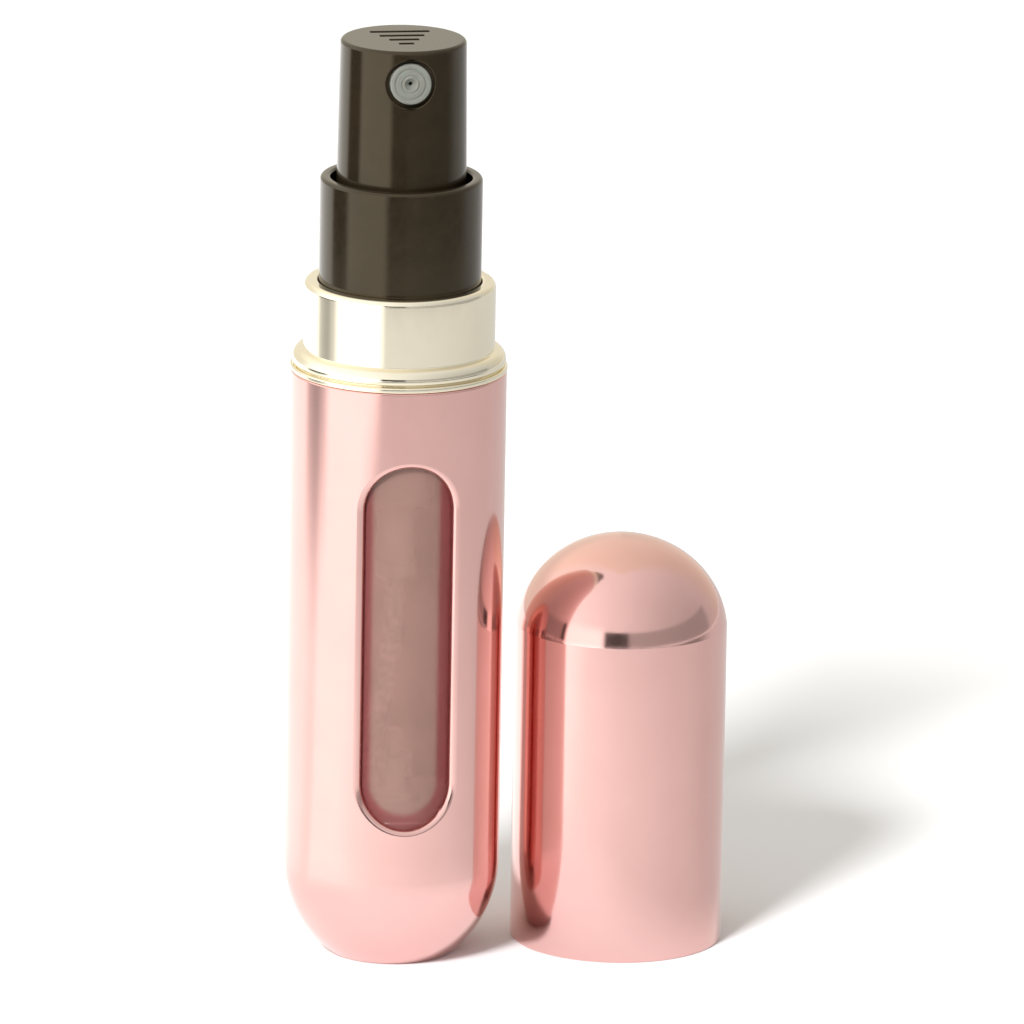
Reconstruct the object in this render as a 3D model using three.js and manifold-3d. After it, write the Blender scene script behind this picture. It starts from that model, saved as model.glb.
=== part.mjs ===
// Refillable pocket perfume atomiser with its cap taken off and stood beside it.
// An anodised aluminium shell with a long window holds a clear inner bottle. A fine-mist pump sits in the
// bottle's neck under a black guard and button, and a spring-loaded filling valve closes its bottom end.
// Millimetres, +Z up. The window and the nozzle face -Y. The origin is the bottom centre of the box around
// the bottle and the cap, on the surface that both stand on.

import * as THREE from "three";
import { mergeVertices } from "three/addons/utils/BufferGeometryUtils.js";
import Module from "manifold-3d";

const wasm = await Module();
wasm.setup();

// ---------------------------------------------------------------- sizes

// Facets round a turned piece. All are multiples of 12, so a turn of 30 degrees maps a piece onto itself.
const LARGE = 36;
const SMALL = 24;
const TINY = 12;

// Clearances, each the gap on one side.
const seatGap = 0.02; // between faces that rest on each other
const pressGap = 0.02; // radial, between pieces pushed together
const slideGap = 0.05; // radial, between pieces that slide in each other
const shellGap = 0.2; // radial, between the shell and the bottle inside it
const beadGap = 0.1; // radial, between the neck's bead and the guard's skirt
const buttonGap = 0.37; // radial, between the button and the guard
const pressedGap = 0.3; // between the pressed button and the guard's web

// Outer shell.
const shellRadius = 8.5;
const shellWall = 0.6;
const shellHeight = 47.4;
const baseFlatRadius = 4.9; // of the flat ring that the bottle stands on
const baseRoundDepth = 9.2; // upright half axis of the ellipse that rounds the base
const portHoleRadius = 3.1;
const windowWidth = 7.4;
const windowBottom = 11.6;
const windowDrop = 6.0; // of the window's top under the shell's rim

// Inner bottle.
const bottleWall = 0.8;
const bottleDip = 0.45; // of the bottle's bottom edge under the start of the shell's straight side
const shoulderDrop = 1.2; // of the shoulder under the shell's rim
const shoulderRound = 1.6;
const neckHeight = 4.4;
const neckWall = 0.8;
const neckBead = 0.2; // how far the snap bead stands out
const neckBeadHeight = 0.8;
const neckBeadDrop = 2.2; // of the bead's underside under the neck's top

// Collar.
const collarInset = 0.965; // of the collar's wall from the shell's outside
const collarWall = 0.5;
const collarHeight = 7.15; // above the shell
const collarTopRound = 0.65;
const flangeLip = 0.05; // how far the flange stands out over the shell
const flangeHeight = 0.43;
const beadStandOut = 0.87;
const beadHeight = 1.05;
const spigotDepth = 1.4; // how far the collar reaches into the shell
const spigotWall = 0.65;

// Guard, which is also the closure that holds the pump.
const guardInset = 0.66; // of the guard from the collar's bore
const guardWall = 0.845;
const guardRise = 8.35; // above the collar
const guardEdge = 0.3;
const skirtWall = 1.385;
const skirtLift = 0.6; // above the bottle's shoulder
const webThickness = 0.75;
const webHoleGap = 0.4; // radial, round the stem

// Pump housing.
const gasketHeight = 0.6;
const pumpFlangeInset = 0.1; // from the neck's outside
const pumpFlangeHeight = 0.8;
const barrelRadius = 2.9;
const barrelWall = 0.7;
const barrelLength = 14.75;
const barrelChamfer = 0.6;
const barrelFloor = 1.5; // thickness under the spring's seat
const tailRadius = 1.45;
const tailLength = 5.9;
const tailRingRadius = 1.6;
const tailRingHeight = 1.1;
const inletRadius = 0.4;
const ballRadius = 0.75;
const ballPocketGap = 0.2; // radial, round the ball
const ballConeHeight = 0.6;
const ballConeDepth = 1.9; // of the cone's lower end under the spring's seat

// Moving parts of the pump.
const stroke = 4.0;
const stemRadius = 1.2;
const stemChannel = 0.5;
const stemEnd = 0.6; // how far the stem reaches below its piston
const pistonHeight = 1.9;
const pistonLip = 0.3;
const pinFlangeHeight = 0.7;
const pinFlangeGap = 0.25; // radial, in the barrel
const pinPlugHeight = 2.2;
const pinPilotHeight = 1.2;
const glandPlugHeight = 1.8;
const glandFlangeRadius = 3.3;
const glandFlangeHeight = 0.78;
const pumpSpringRadius = 1.5;
const pumpSpringWire = 0.35;
const pumpSpringTurns = 7;

// Dip tube.
const tubeRadius = 0.8;
const tubeBore = 0.5;
const tubeSocketDepth = 3.2;
const tubeSocketGap = 0.1;
const tubeWallGap = 1.0; // between the tube's lower end and the bottle's wall
const tubeFloorGap = 0.9; // between the tube's lower end and the bottle's floor
const tubeLeanAngle = 110; // degrees about Z, the way that the tube leans

// Button and nozzle.
const buttonRise = 11.0; // above the guard
const buttonTaper = 0.23; // how much narrower the button is at its top
const buttonWall = 0.9;
const buttonRoof = 1.1;
const buttonRound = 0.65;
const bossWall = 1.0;
const bossInset = 0.1; // how far the boss stops short of the skirt's edge
const socketDepth = 3.5;
const buttonChannel = 0.6;
const nozzleDrop = 2.6; // of the nozzle's axis under the button's top
const nozzleRadius = 1.62;
const nozzlePocketDepth = 2.5;
const nozzlePocketWall = 0.6;
const nozzleRecessWidth = 0.3; // radial, of the countersink round the nozzle
const nozzleRecessDepth = 0.55;
const nozzleInset = 0.1; // of the nozzle's face behind the button's front
const nozzleFaceThickness = 0.7;
const nozzleFaceEdge = 0.1;
const nozzleDishRadius = 0.5;
const nozzleDishDepth = 0.35;
const orificeRadius = 0.15;
const postRadius = 0.9;
const postLength = 1.4;
const feedRadius = 0.3;
const grooveCount = 4;
const grooveWidth = 0.55;
const grooveDepth = 0.25;
const grooveMargin = 1.0; // between the grooves' triangle and the edge of the flat top

// Filling valve.
const noseInset = 0.35; // of the nose's face above the table
const noseGap = 0.1; // radial, between the nose and the shell's port hole
const noseRadius = portHoleRadius - noseGap;
const footRadius = 4.4;
const footThickness = 1.0;
const fillerFlangeInset = 0.25; // from the bottle's outside
const fillerFlangeHeight = 1.45;
const plugDepth = 5.25; // how far the plug reaches up into the bottle
const plugWall = 1.0;
const portRadius = 1.8;
const portDepth = 5.15;
const portGasketHeight = 0.8;
const portGasketHole = 0.75;
const valveSeatHole = 0.8;
const valveSeatThickness = 1.08;
const valveChamberRadius = 1.75;
const valveTravel = 1.6;
const rimRadius = 2.25; // of the rim that holds the cage
const rimHeight = 0.4; // above the bottle's floor
const poppetPinRadius = 0.5;
const poppetLandRadius = 0.68;
const poppetTaper = 0.3;
const poppetHeadRadius = 1.3;
const poppetHeadHeight = 0.8;
const poppetStemRadius = 0.55;
const poppetRise = 2.1; // above the cage
const sealWire = 0.3; // radius of the ring's section
const cagePlugDepth = 2.5;
const cageFlangeHeight = 0.55;
const cageNeckRadius = 1.5;
const cageNeckHeight = 2.65;
const cageRoof = 0.8;
const cagePocketRadius = 1.05;
const cageSlotWidth = 0.7;
const fillerSpringRadius = 0.8;
const fillerSpringWire = 0.22;
const fillerSpringTurns = 6;

// Cap.
const capInset = 0.1; // of the cap's side from the shell's outside
const capWall = 0.35;
const capStraight = 25.75; // height of the straight side
const capDomeHeight = 7.05;
const standGap = 1.62; // between the bottle and the cap beside it
const standAngle = 7.1; // degrees about Z, from the bottle to the cap
const linerWall = 0.4;
const linerInset = 0.4;
const linerHeight = 13.0;
const linerRibCount = 6;
const linerRibWidth = 1.2;
const linerRibHeight = 6.0;
const linerRibInset = 1.0;
const linerRibRoot = 0.1; // how far a rib stops short of the liner's outside

// ---------------------------------------------------------------- sizes that follow from those

const shellBore = shellRadius - shellWall;
const flatShare = baseFlatRadius / shellRadius;
const baseSeam = baseRoundDepth * Math.sqrt(1 - flatShare * flatShare); // start of the straight side

const collarRadius = shellRadius - collarInset;
const collarBore = collarRadius - collarWall;
const spigotRadius = shellBore - slideGap;
const flangeRadius = shellRadius + flangeLip;
const flangeBottom = shellHeight + seatGap;
const flangeTop = flangeBottom + flangeHeight;
const collarTop = shellHeight + collarHeight;

const skirtRadius = collarBore - slideGap;
const skirtBore = skirtRadius - skirtWall;
const skirtStep = collarTop - collarWall - seatGap;
const guardRadius = collarBore - guardInset;
const guardBore = guardRadius - guardWall;
const guardTop = collarTop + guardRise;

const bottleRadius = shellBore - shellGap;
const bottleBore = bottleRadius - bottleWall;
const bottleBottom = baseSeam - bottleDip;
const shoulderTop = shellHeight - shoulderDrop;
const neckRadius = skirtBore - beadGap - neckBead;
const neckBore = neckRadius - neckWall;
const neckTop = shoulderTop + neckHeight;
const neckBeadBottom = neckTop - neckBeadDrop;

const gasketBottom = neckTop + seatGap;
const pumpFlangeRadius = neckRadius - pumpFlangeInset;
const pumpFlangeBottom = gasketBottom + gasketHeight + seatGap;
const pumpFlangeTop = pumpFlangeBottom + pumpFlangeHeight;
const barrelBore = barrelRadius - barrelWall;
const barrelBottom = pumpFlangeBottom - barrelLength;
const springSeat = barrelBottom + barrelFloor;
const tailBottom = barrelBottom - tailLength;
const tubeSocketTop = tailBottom + tubeSocketDepth;
const ballPocketRadius = ballRadius + ballPocketGap;
const ballConeBottom = springSeat - ballConeDepth;
const ballConeTop = ballConeBottom + ballConeHeight;

const glandBottom = pumpFlangeTop + seatGap - glandPlugHeight;
const glandFlangeTop = pumpFlangeTop + seatGap + glandFlangeHeight;
const webBottom = glandFlangeTop + seatGap;
const webTop = webBottom + webThickness;
const pistonTop = glandBottom - slideGap;
const pistonBottom = pistonTop - pistonHeight;
const stemBottom = pistonBottom - stemEnd;
const pinFlangeTop = stemBottom - seatGap;
const pinFlangeBottom = pinFlangeTop - pinFlangeHeight;

const buttonTop = guardTop + buttonRise;
const buttonSkirtRadius = guardBore - buttonGap;
const buttonTopRadius = buttonSkirtRadius - buttonTaper;
const buttonBottom = webTop + stroke + pressedGap; // at rest
const bossRadius = stemRadius + bossWall;
const bossBottom = buttonBottom + bossInset;
const socketBore = stemRadius + pressGap;
const socketTop = bossBottom + socketDepth;
const stemTop = socketTop - seatGap;
const nozzleZ = buttonTop - nozzleDrop;
const nozzleShare = nozzleDrop / (buttonTop - buttonBottom);
const buttonFrontRadius = buttonTopRadius + buttonTaper * nozzleShare; // at the nozzle's height
const nozzlePocketFloor = nozzlePocketDepth - buttonFrontRadius;
const nozzleFace = nozzleInset - buttonFrontRadius;
const feedZ = nozzleZ - (postRadius + nozzleRadius) / 2;

const fillerFlangeRadius = bottleRadius - fillerFlangeInset;
const fillerFlangeTop = bottleBottom - seatGap;
const fillerFlangeBottom = fillerFlangeTop - fillerFlangeHeight;
const fillerFloor = bottleBottom + plugDepth;
const rimTop = fillerFloor + rimHeight;
const portTop = noseInset + portDepth;
const portGasketTop = portTop - seatGap;
const valveSeatTop = portTop + valveSeatThickness;
const poppetHeadBottom = valveSeatTop + 2 * sealWire + seatGap;
const poppetHeadTop = poppetHeadBottom + poppetHeadHeight;
const poppetTip = portGasketTop - portGasketHeight - valveTravel;
const cageFlangeBottom = rimTop + seatGap;
const cageFlangeTop = cageFlangeBottom + cageFlangeHeight;
const cageTop = cageFlangeTop + cageNeckHeight;
const cagePocketTop = cageTop - cageRoof;

const capRadius = shellRadius - capInset;
const capBore = capRadius - capWall;
const linerRadius = capBore - slideGap;
const linerBore = linerRadius - linerWall;
const standDistance = shellRadius + capRadius + standGap;
const capX = standDistance * Math.cos(THREE.MathUtils.degToRad(standAngle));
const capY = standDistance * Math.sin(THREE.MathUtils.degToRad(standAngle));

// ---------------------------------------------------------------- tools

// Points on an ellipse about (r, z), from one angle to another in degrees, both ends included.
function arc(r, z, halfWidth, halfHeight, from, to, steps) {
  const points = [];
  for (let i = 0; i <= steps; i++) {
    const a = THREE.MathUtils.degToRad(from + ((to - from) * i) / steps);
    points.push([r + halfWidth * Math.cos(a), z + halfHeight * Math.sin(a)]);
  }
  return points;
}

// A turned solid about Z. The profile is a list of [radius, height] that runs up the outside and down the
// inside. It starts and ends on the axis, or else it is closed here.
function turned(profile, facets) {
  const points = profile.map(([r, z]) => new THREE.Vector2(r, z));
  if (profile[0][0] > 0) points.push(points[0].clone());
  return new THREE.LatheGeometry(points, facets).rotateX(Math.PI / 2);
}

// A plain ring or tube about Z.
function ring(innerRadius, outerRadius, bottom, top, facets) {
  const profile = [
    [innerRadius, bottom],
    [outerRadius, bottom],
    [outerRadius, top],
    [innerRadius, top],
  ];
  return turned(profile, facets);
}

// An upright bar with round ends, from the axis out to `front` along -Y.
function roundEndedBar(width, bottom, top, front) {
  const half = width / 2;
  const shape = new THREE.Shape();
  shape.absarc(0, top - half, half, 0, Math.PI, false);
  shape.absarc(0, bottom + half, half, Math.PI, 2 * Math.PI, false);
  const bar = new THREE.ExtrudeGeometry(shape, {
    depth: front,
    bevelEnabled: false,
    curveSegments: 8,
  });
  return bar.rotateX(Math.PI / 2);
}

// A round bar along Y between two places, at a height.
function crossPin(radius, from, to, z, facets = SMALL) {
  const pin = new THREE.CylinderGeometry(radius, radius, to - from, facets);
  return pin.translate(0, (from + to) / 2, z);
}

function solidOf(geometry) {
  const bare = new THREE.BufferGeometry();
  bare.setAttribute("position", geometry.getAttribute("position"));
  if (geometry.index) bare.setIndex(geometry.index);
  const merged = mergeVertices(bare, 1e-4);
  return new wasm.Manifold(
    new wasm.Mesh({
      numProp: 3,
      vertProperties: new Float32Array(merged.attributes.position.array),
      triVerts: new Uint32Array(merged.index.array),
    }),
  );
}

function geometryOf(solid) {
  const mesh = solid.getMesh();
  const geometry = new THREE.BufferGeometry();
  geometry.setAttribute(
    "position",
    new THREE.BufferAttribute(mesh.vertProperties, 3),
  );
  geometry.setIndex(new THREE.BufferAttribute(mesh.triVerts, 1));
  geometry.computeVertexNormals();
  return geometry;
}

function cut(geometry, ...tools) {
  const solid = tools.reduce((s, t) => s.subtract(solidOf(t)), solidOf(geometry));
  return geometryOf(solid);
}

function join(geometry, ...others) {
  const solid = others.reduce((s, t) => s.add(solidOf(t)), solidOf(geometry));
  return geometryOf(solid);
}

// The centre line of a compression spring about Z, with its end coils wound closer than the rest.
class SpringLine extends THREE.Curve {
  constructor(radius, wire, bottom, top, turns) {
    super();
    Object.assign(this, { radius, turns });
    this.low = bottom + wire / 2;
    this.high = top - wire / 2;
    this.closePitch = wire * 1.3;
  }
  getPoint(t, target = new THREE.Vector3()) {
    const turn = t * this.turns;
    const openTurns = this.turns - 2;
    const openPitch = (this.high - this.low - 2 * this.closePitch) / openTurns;
    const open = THREE.MathUtils.clamp(turn - 1, 0, openTurns);
    const z = this.low + open * openPitch + (turn - open) * this.closePitch;
    const angle = 2 * Math.PI * turn;
    return target.set(this.radius * Math.cos(angle), this.radius * Math.sin(angle), z);
  }
}

function spring(radius, wire, bottom, top, turns) {
  const stepsPerTurn = 10;
  const section = new THREE.Shape();
  section.absarc(0, 0, wire / 2, 0, 2 * Math.PI, false);
  return new THREE.ExtrudeGeometry(section, {
    extrudePath: new SpringLine(radius, wire, bottom, top, turns),
    steps: turns * stepsPerTurn,
    curveSegments: 3,
    bevelEnabled: false,
  });
}

const looks = {
  pink: { color: 0xeea49c, roughness: 0.12, metalness: 1 },
  silver: { color: 0xd9d4c6, roughness: 0.16, metalness: 1 },
  steel: { color: 0xb8bcc0, roughness: 0.3, metalness: 1 },
  black: { color: 0x17130f, roughness: 0.22, metalness: 0 },
  grey: { color: 0x8d8f8a, roughness: 0.45, metalness: 0 },
  white: { color: 0xe6e6e0, roughness: 0.5, metalness: 0 },
  rubber: { color: 0x2a2a2a, roughness: 0.7, metalness: 0 },
  clear: {
    color: 0xe9e4df,
    roughness: 0.15,
    metalness: 0,
    transparent: true,
    opacity: 0.35,
  },
};

function piece(name, geometry, look) {
  const mesh = new THREE.Mesh(geometry, new THREE.MeshStandardMaterial(looks[look]));
  mesh.name = name;
  return mesh;
}

// ---------------------------------------------------------------- shell and inner bottle

function outerShell() {
  const innerRoundDepth = baseRoundDepth - shellWall;
  const outerStart = -THREE.MathUtils.radToDeg(Math.acos(flatShare));
  const innerStart = -THREE.MathUtils.radToDeg(
    Math.asin((baseSeam - shellWall) / innerRoundDepth),
  );
  const profile = [
    [portHoleRadius, 0],
    ...arc(0, baseSeam, shellRadius, baseRoundDepth, outerStart, 0, 7),
    [shellRadius, shellHeight],
    [shellBore, shellHeight],
    ...arc(0, baseSeam, shellBore, innerRoundDepth, 0, innerStart, 5),
    [portHoleRadius, shellWall],
  ];
  const windowTop = shellHeight - windowDrop;
  const opening = roundEndedBar(windowWidth, windowBottom, windowTop, 2 * shellRadius);
  return piece("outer_shell", cut(turned(profile, LARGE), opening), "pink");
}

function innerBottle() {
  const innerRound = shoulderRound - bottleWall / 2;
  const innerTop = shoulderTop - bottleWall;
  const roundRadius = bottleRadius - shoulderRound;
  const roundZ = shoulderTop - shoulderRound;
  const profile = [
    [bottleBore, bottleBottom],
    [bottleRadius, bottleBottom],
    ...arc(roundRadius, roundZ, shoulderRound, shoulderRound, 0, 90, 3),
    [neckRadius, shoulderTop],
    [neckRadius, neckBeadBottom],
    [neckRadius + neckBead, neckBeadBottom + neckBead],
    [neckRadius, neckBeadBottom + neckBeadHeight],
    [neckRadius, neckTop],
    [neckBore, neckTop],
    [neckBore, innerTop],
    ...arc(bottleBore - innerRound, innerTop - innerRound, innerRound, innerRound, 90, 0, 3),
  ];
  return piece("inner_bottle", turned(profile, LARGE), "clear");
}

// ---------------------------------------------------------------- collar and guard

function collar() {
  const roundRadius = collarRadius - collarTopRound;
  const roundZ = collarTop - collarTopRound;
  const lipBore = guardRadius + slideGap;
  const spigotBottom = shellHeight - spigotDepth;
  const spigotBore = spigotRadius - spigotWall;
  const profile = [
    [spigotBore, spigotBottom],
    [spigotRadius, spigotBottom],
    [spigotRadius, flangeBottom],
    [flangeRadius, flangeBottom],
    [flangeRadius, flangeTop],
    ...arc(collarRadius, flangeTop, beadStandOut, beadHeight, 0, 90, 4),
    [collarRadius, roundZ],
    ...arc(roundRadius, roundZ, collarTopRound, collarTopRound, 0, 90, 3).slice(1),
    [lipBore, collarTop],
    [lipBore, collarTop - collarWall],
    [collarBore, collarTop - collarWall],
    [collarBore, flangeTop],
    [spigotBore, flangeTop],
  ];
  return piece("collar", turned(profile, LARGE), "silver");
}

function guardSleeve() {
  const ridgeBore = neckRadius + slideGap;
  const ridgeTop = neckBeadBottom - seatGap;
  const skirtBottom = shoulderTop + skirtLift;
  const glandBore = glandFlangeRadius + slideGap;
  const webHole = stemRadius + webHoleGap;
  const profile = [
    [ridgeBore, skirtBottom],
    [skirtRadius, skirtBottom],
    [skirtRadius, skirtStep],
    [guardRadius, skirtStep],
    [guardRadius, guardTop - guardEdge],
    [guardRadius - guardEdge, guardTop],
    [guardBore + guardEdge, guardTop],
    [guardBore, guardTop - guardEdge],
    [guardBore, webTop],
    [webHole, webTop],
    [webHole, webBottom],
    [glandBore, webBottom],
    [glandBore, pumpFlangeTop + seatGap],
    [skirtBore, pumpFlangeTop + seatGap],
    [skirtBore, ridgeTop],
    [ridgeBore, ridgeTop],
  ];
  return piece("guard_sleeve", turned(profile, LARGE), "black");
}

// ---------------------------------------------------------------- pump

function neckGasket() {
  const top = gasketBottom + gasketHeight;
  const gasket = ring(barrelRadius + slideGap, pumpFlangeRadius, gasketBottom, top, SMALL);
  return piece("neck_gasket", gasket, "rubber");
}

function pumpHousing() {
  const socketRadius = tubeRadius + tubeSocketGap;
  const profile = [
    [socketRadius, tailBottom],
    [tailRingRadius, tailBottom],
    [tailRingRadius, tailBottom + tailRingHeight],
    [tailRadius, tailBottom + tailRingHeight],
    [tailRadius, barrelBottom],
    [barrelRadius - barrelChamfer, barrelBottom],
    [barrelRadius, barrelBottom + barrelChamfer],
    [barrelRadius, pumpFlangeBottom],
    [pumpFlangeRadius, pumpFlangeBottom],
    [pumpFlangeRadius, pumpFlangeTop],
    [barrelBore, pumpFlangeTop],
    [barrelBore, springSeat],
    [ballPocketRadius, springSeat],
    [ballPocketRadius, ballConeTop],
    [inletRadius, ballConeBottom],
    [inletRadius, tubeSocketTop],
    [socketRadius, tubeSocketTop],
  ];
  return piece("pump_housing", turned(profile, SMALL), "white");
}

function stemSeal() {
  const bore = stemRadius + slideGap;
  const profile = [
    [bore, glandBottom],
    [barrelBore - pressGap, glandBottom],
    [barrelBore - pressGap, pumpFlangeTop + seatGap],
    [glandFlangeRadius, pumpFlangeTop + seatGap],
    [glandFlangeRadius, glandFlangeTop],
    [bore, glandFlangeTop],
  ];
  return piece("stem_seal", turned(profile, SMALL), "white");
}

function checkBall() {
  // The ball rests on a cone, so its centre stands a radius away from the cone's side.
  const run = ballPocketRadius - inletRadius;
  const slant = Math.hypot(run, ballConeHeight);
  const reach = (ballRadius + seatGap) * slant - inletRadius * ballConeHeight;
  const ball = new THREE.SphereGeometry(ballRadius, TINY, 8).rotateX(Math.PI / 2);
  const mesh = piece("check_ball", ball, "steel");
  mesh.position.z = ballConeBottom + reach / run;
  return mesh;
}

function pumpStem() {
  return piece("pump_stem", ring(stemChannel, stemRadius, stemBottom, stemTop, SMALL), "white");
}

function pumpPiston() {
  const bore = stemRadius + pressGap;
  const outside = barrelBore - slideGap;
  const waist = outside - pistonLip / 2;
  const profile = [
    [bore, pistonBottom + pistonLip],
    [outside - pistonLip, pistonBottom + pistonLip],
    [waist, pistonBottom],
    [outside, pistonBottom],
    [waist, pistonBottom + pistonHeight / 2],
    [outside, pistonTop],
    [bore, pistonTop],
  ];
  return piece("pump_piston", turned(profile, SMALL), "white");
}

function pumpPin() {
  const pilotRadius = pumpSpringRadius - pumpSpringWire;
  const plugRadius = stemChannel - pressGap;
  const profile = [
    [0, pinFlangeBottom - pinPilotHeight],
    [pilotRadius - 2 * slideGap, pinFlangeBottom - pinPilotHeight],
    [pilotRadius, pinFlangeBottom],
    [barrelBore - pinFlangeGap, pinFlangeBottom],
    [barrelBore - pinFlangeGap, pinFlangeTop],
    [plugRadius, pinFlangeTop],
    [plugRadius, pinFlangeTop + pinPlugHeight],
    [0, pinFlangeTop + pinPlugHeight],
  ];
  return piece("pump_pin", turned(profile, SMALL), "white");
}

function pumpSpring() {
  const bottom = springSeat + seatGap;
  const top = pinFlangeBottom - seatGap;
  const coil = spring(pumpSpringRadius, pumpSpringWire, bottom, top, pumpSpringTurns);
  return piece("pump_spring", coil, "steel");
}

// The tube hangs straight out of the pump, then leans over more and more towards the bottle's wall.
function dipTube() {
  const end = fillerFloor + tubeFloorGap;
  const drop = tailBottom - end;
  const lean = bottleBore - tubeRadius - tubeWallGap;
  const leanAngle = THREE.MathUtils.degToRad(tubeLeanAngle);
  const leanPower = 1.75;
  const bends = 8;
  const route = [new THREE.Vector3(0, 0, tubeSocketTop - seatGap)];
  for (let i = 0; i <= bends; i++) {
    const share = i / bends;
    const away = lean * share ** leanPower;
    const z = tailBottom - drop * share;
    route.push(new THREE.Vector3(away * Math.cos(leanAngle), away * Math.sin(leanAngle), z));
  }
  const section = new THREE.Shape();
  section.absarc(0, 0, tubeRadius, 0, 2 * Math.PI, false);
  const bore = new THREE.Path();
  bore.absarc(0, 0, tubeBore, 0, 2 * Math.PI, true);
  section.holes.push(bore);
  const tube = new THREE.ExtrudeGeometry(section, {
    extrudePath: new THREE.CatmullRomCurve3(route),
    steps: 14,
    curveSegments: 5,
    bevelEnabled: false,
  });
  return piece("dip_tube", tube, "clear");
}

// ---------------------------------------------------------------- button and nozzle

// Finger grooves in the button's top. They fill a triangle that points at the nozzle, in a circle inside
// the top's flat.
function directionGrooves() {
  const reach = buttonTopRadius - buttonRound - grooveMargin;
  const corner = reach * Math.SQRT1_2;
  const pitch = (corner + reach) / grooveCount;
  const grooves = [];
  for (let i = 0; i < grooveCount; i++) {
    const length = 2 * corner * (1 - i / grooveCount);
    const groove = new THREE.BoxGeometry(length, grooveWidth, 2 * grooveDepth);
    grooves.push(groove.translate(0, corner - i * pitch, buttonTop));
  }
  return grooves;
}

function sprayButton() {
  const roofBottom = buttonTop - buttonRoof;
  const roundRadius = buttonTopRadius - buttonRound;
  const roundZ = buttonTop - buttonRound;
  const channelTop = nozzleZ + buttonChannel;
  const profile = [
    [0, channelTop],
    [buttonChannel, channelTop],
    [buttonChannel, socketTop],
    [socketBore, socketTop],
    [socketBore, bossBottom],
    [bossRadius, bossBottom],
    [bossRadius, roofBottom],
    [buttonTopRadius - buttonWall, roofBottom],
    [buttonSkirtRadius - buttonWall, buttonBottom],
    [buttonSkirtRadius, buttonBottom],
    [buttonTopRadius, roundZ],
    ...arc(roundRadius, roundZ, buttonRound, buttonRound, 0, 90, 4).slice(1),
    [0, buttonTop],
  ];
  const outside = -2 * buttonSkirtRadius;
  const blockFront = buttonWall / 2 - buttonFrontRadius;
  const recessFloor = nozzleRecessDepth - buttonFrontRadius;
  const postEnd = nozzlePocketFloor - postLength;
  const blockRadius = nozzleRadius + nozzlePocketWall;
  const recessRadius = nozzleRadius + nozzleRecessWidth;
  const block = crossPin(blockRadius, blockFront, -buttonChannel - pressGap, nozzleZ);
  const pocket = crossPin(nozzleRadius + pressGap, outside, nozzlePocketFloor, nozzleZ);
  const recess = crossPin(recessRadius, outside, recessFloor, nozzleZ);
  const post = crossPin(postRadius, postEnd, nozzlePocketFloor + feedRadius, nozzleZ);
  const feed = crossPin(feedRadius, postEnd, 0, feedZ, TINY);
  const bored = cut(join(turned(profile, LARGE), block), pocket, recess);
  const whole = cut(join(bored, post), feed, ...directionGrooves());
  return piece("spray_button", whole, "black");
}

function sprayNozzle() {
  const length = nozzlePocketFloor - seatGap - nozzleFace;
  const cupRadius = postRadius + slideGap;
  const cupTop = length - nozzleFaceThickness;
  const profile = [
    [cupRadius, 0],
    [nozzleRadius, 0],
    [nozzleRadius, length - nozzleFaceEdge],
    [nozzleRadius - nozzleFaceEdge, length],
    [nozzleDishRadius, length],
    [orificeRadius, length - nozzleDishDepth],
    [orificeRadius, cupTop],
    [cupRadius, cupTop],
  ];
  const mesh = piece("spray_nozzle", turned(profile, SMALL), "grey");
  mesh.rotation.x = Math.PI / 2;
  mesh.position.set(0, nozzlePocketFloor - seatGap, nozzleZ);
  return mesh;
}

// ---------------------------------------------------------------- filling valve

// The body stands on the shell's base, and its plug closes the bottle. Its outer part is a cup that opens
// downwards round the central tube.
function fillerBody() {
  const footBottom = shellWall + seatGap;
  const footTop = footBottom + footThickness;
  const plugRadius = bottleBore - pressGap;
  const profile = [
    [portRadius, noseInset],
    [noseRadius, noseInset],
    [noseRadius, footBottom],
    [footRadius, footBottom],
    [footRadius, footTop],
    [noseRadius, footTop],
    [noseRadius, fillerFloor - plugWall],
    [plugRadius - plugWall, fillerFloor - plugWall],
    [plugRadius - plugWall, fillerFlangeBottom],
    [fillerFlangeRadius, fillerFlangeBottom],
    [fillerFlangeRadius, fillerFlangeTop],
    [plugRadius, fillerFlangeTop],
    [plugRadius, fillerFloor],
    [rimRadius, fillerFloor],
    [rimRadius, rimTop],
    [valveChamberRadius, rimTop],
    [valveChamberRadius, valveSeatTop],
    [valveSeatHole, valveSeatTop],
    [valveSeatHole, portTop],
    [portRadius, portTop],
  ];
  return piece("filler_body", turned(profile, LARGE), "white");
}

function fillerGasket() {
  const bottom = portGasketTop - portGasketHeight;
  const gasket = ring(portGasketHole, portRadius - pressGap, bottom, portGasketTop, LARGE);
  return piece("filler_gasket", gasket, "rubber");
}

function fillerSeal() {
  const centre = poppetLandRadius + pressGap + sealWire;
  const middle = valveSeatTop + seatGap / 2 + sealWire;
  const section = arc(centre, middle, sealWire, sealWire, 0, 315, 7);
  return piece("filler_seal", turned(section, SMALL), "rubber");
}

function fillerPoppet() {
  const poppetTop = cageTop + poppetRise;
  const profile = [
    [0, poppetTip],
    [poppetPinRadius, poppetTip],
    [poppetPinRadius, valveSeatTop - poppetTaper],
    [poppetLandRadius, valveSeatTop],
    [poppetLandRadius, poppetHeadBottom],
    [poppetHeadRadius, poppetHeadBottom],
    [poppetHeadRadius, poppetHeadTop],
    [poppetStemRadius, poppetHeadTop],
    [poppetStemRadius, poppetTop],
    [0, poppetTop],
  ];
  return piece("filler_poppet", turned(profile, SMALL), "white");
}

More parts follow.
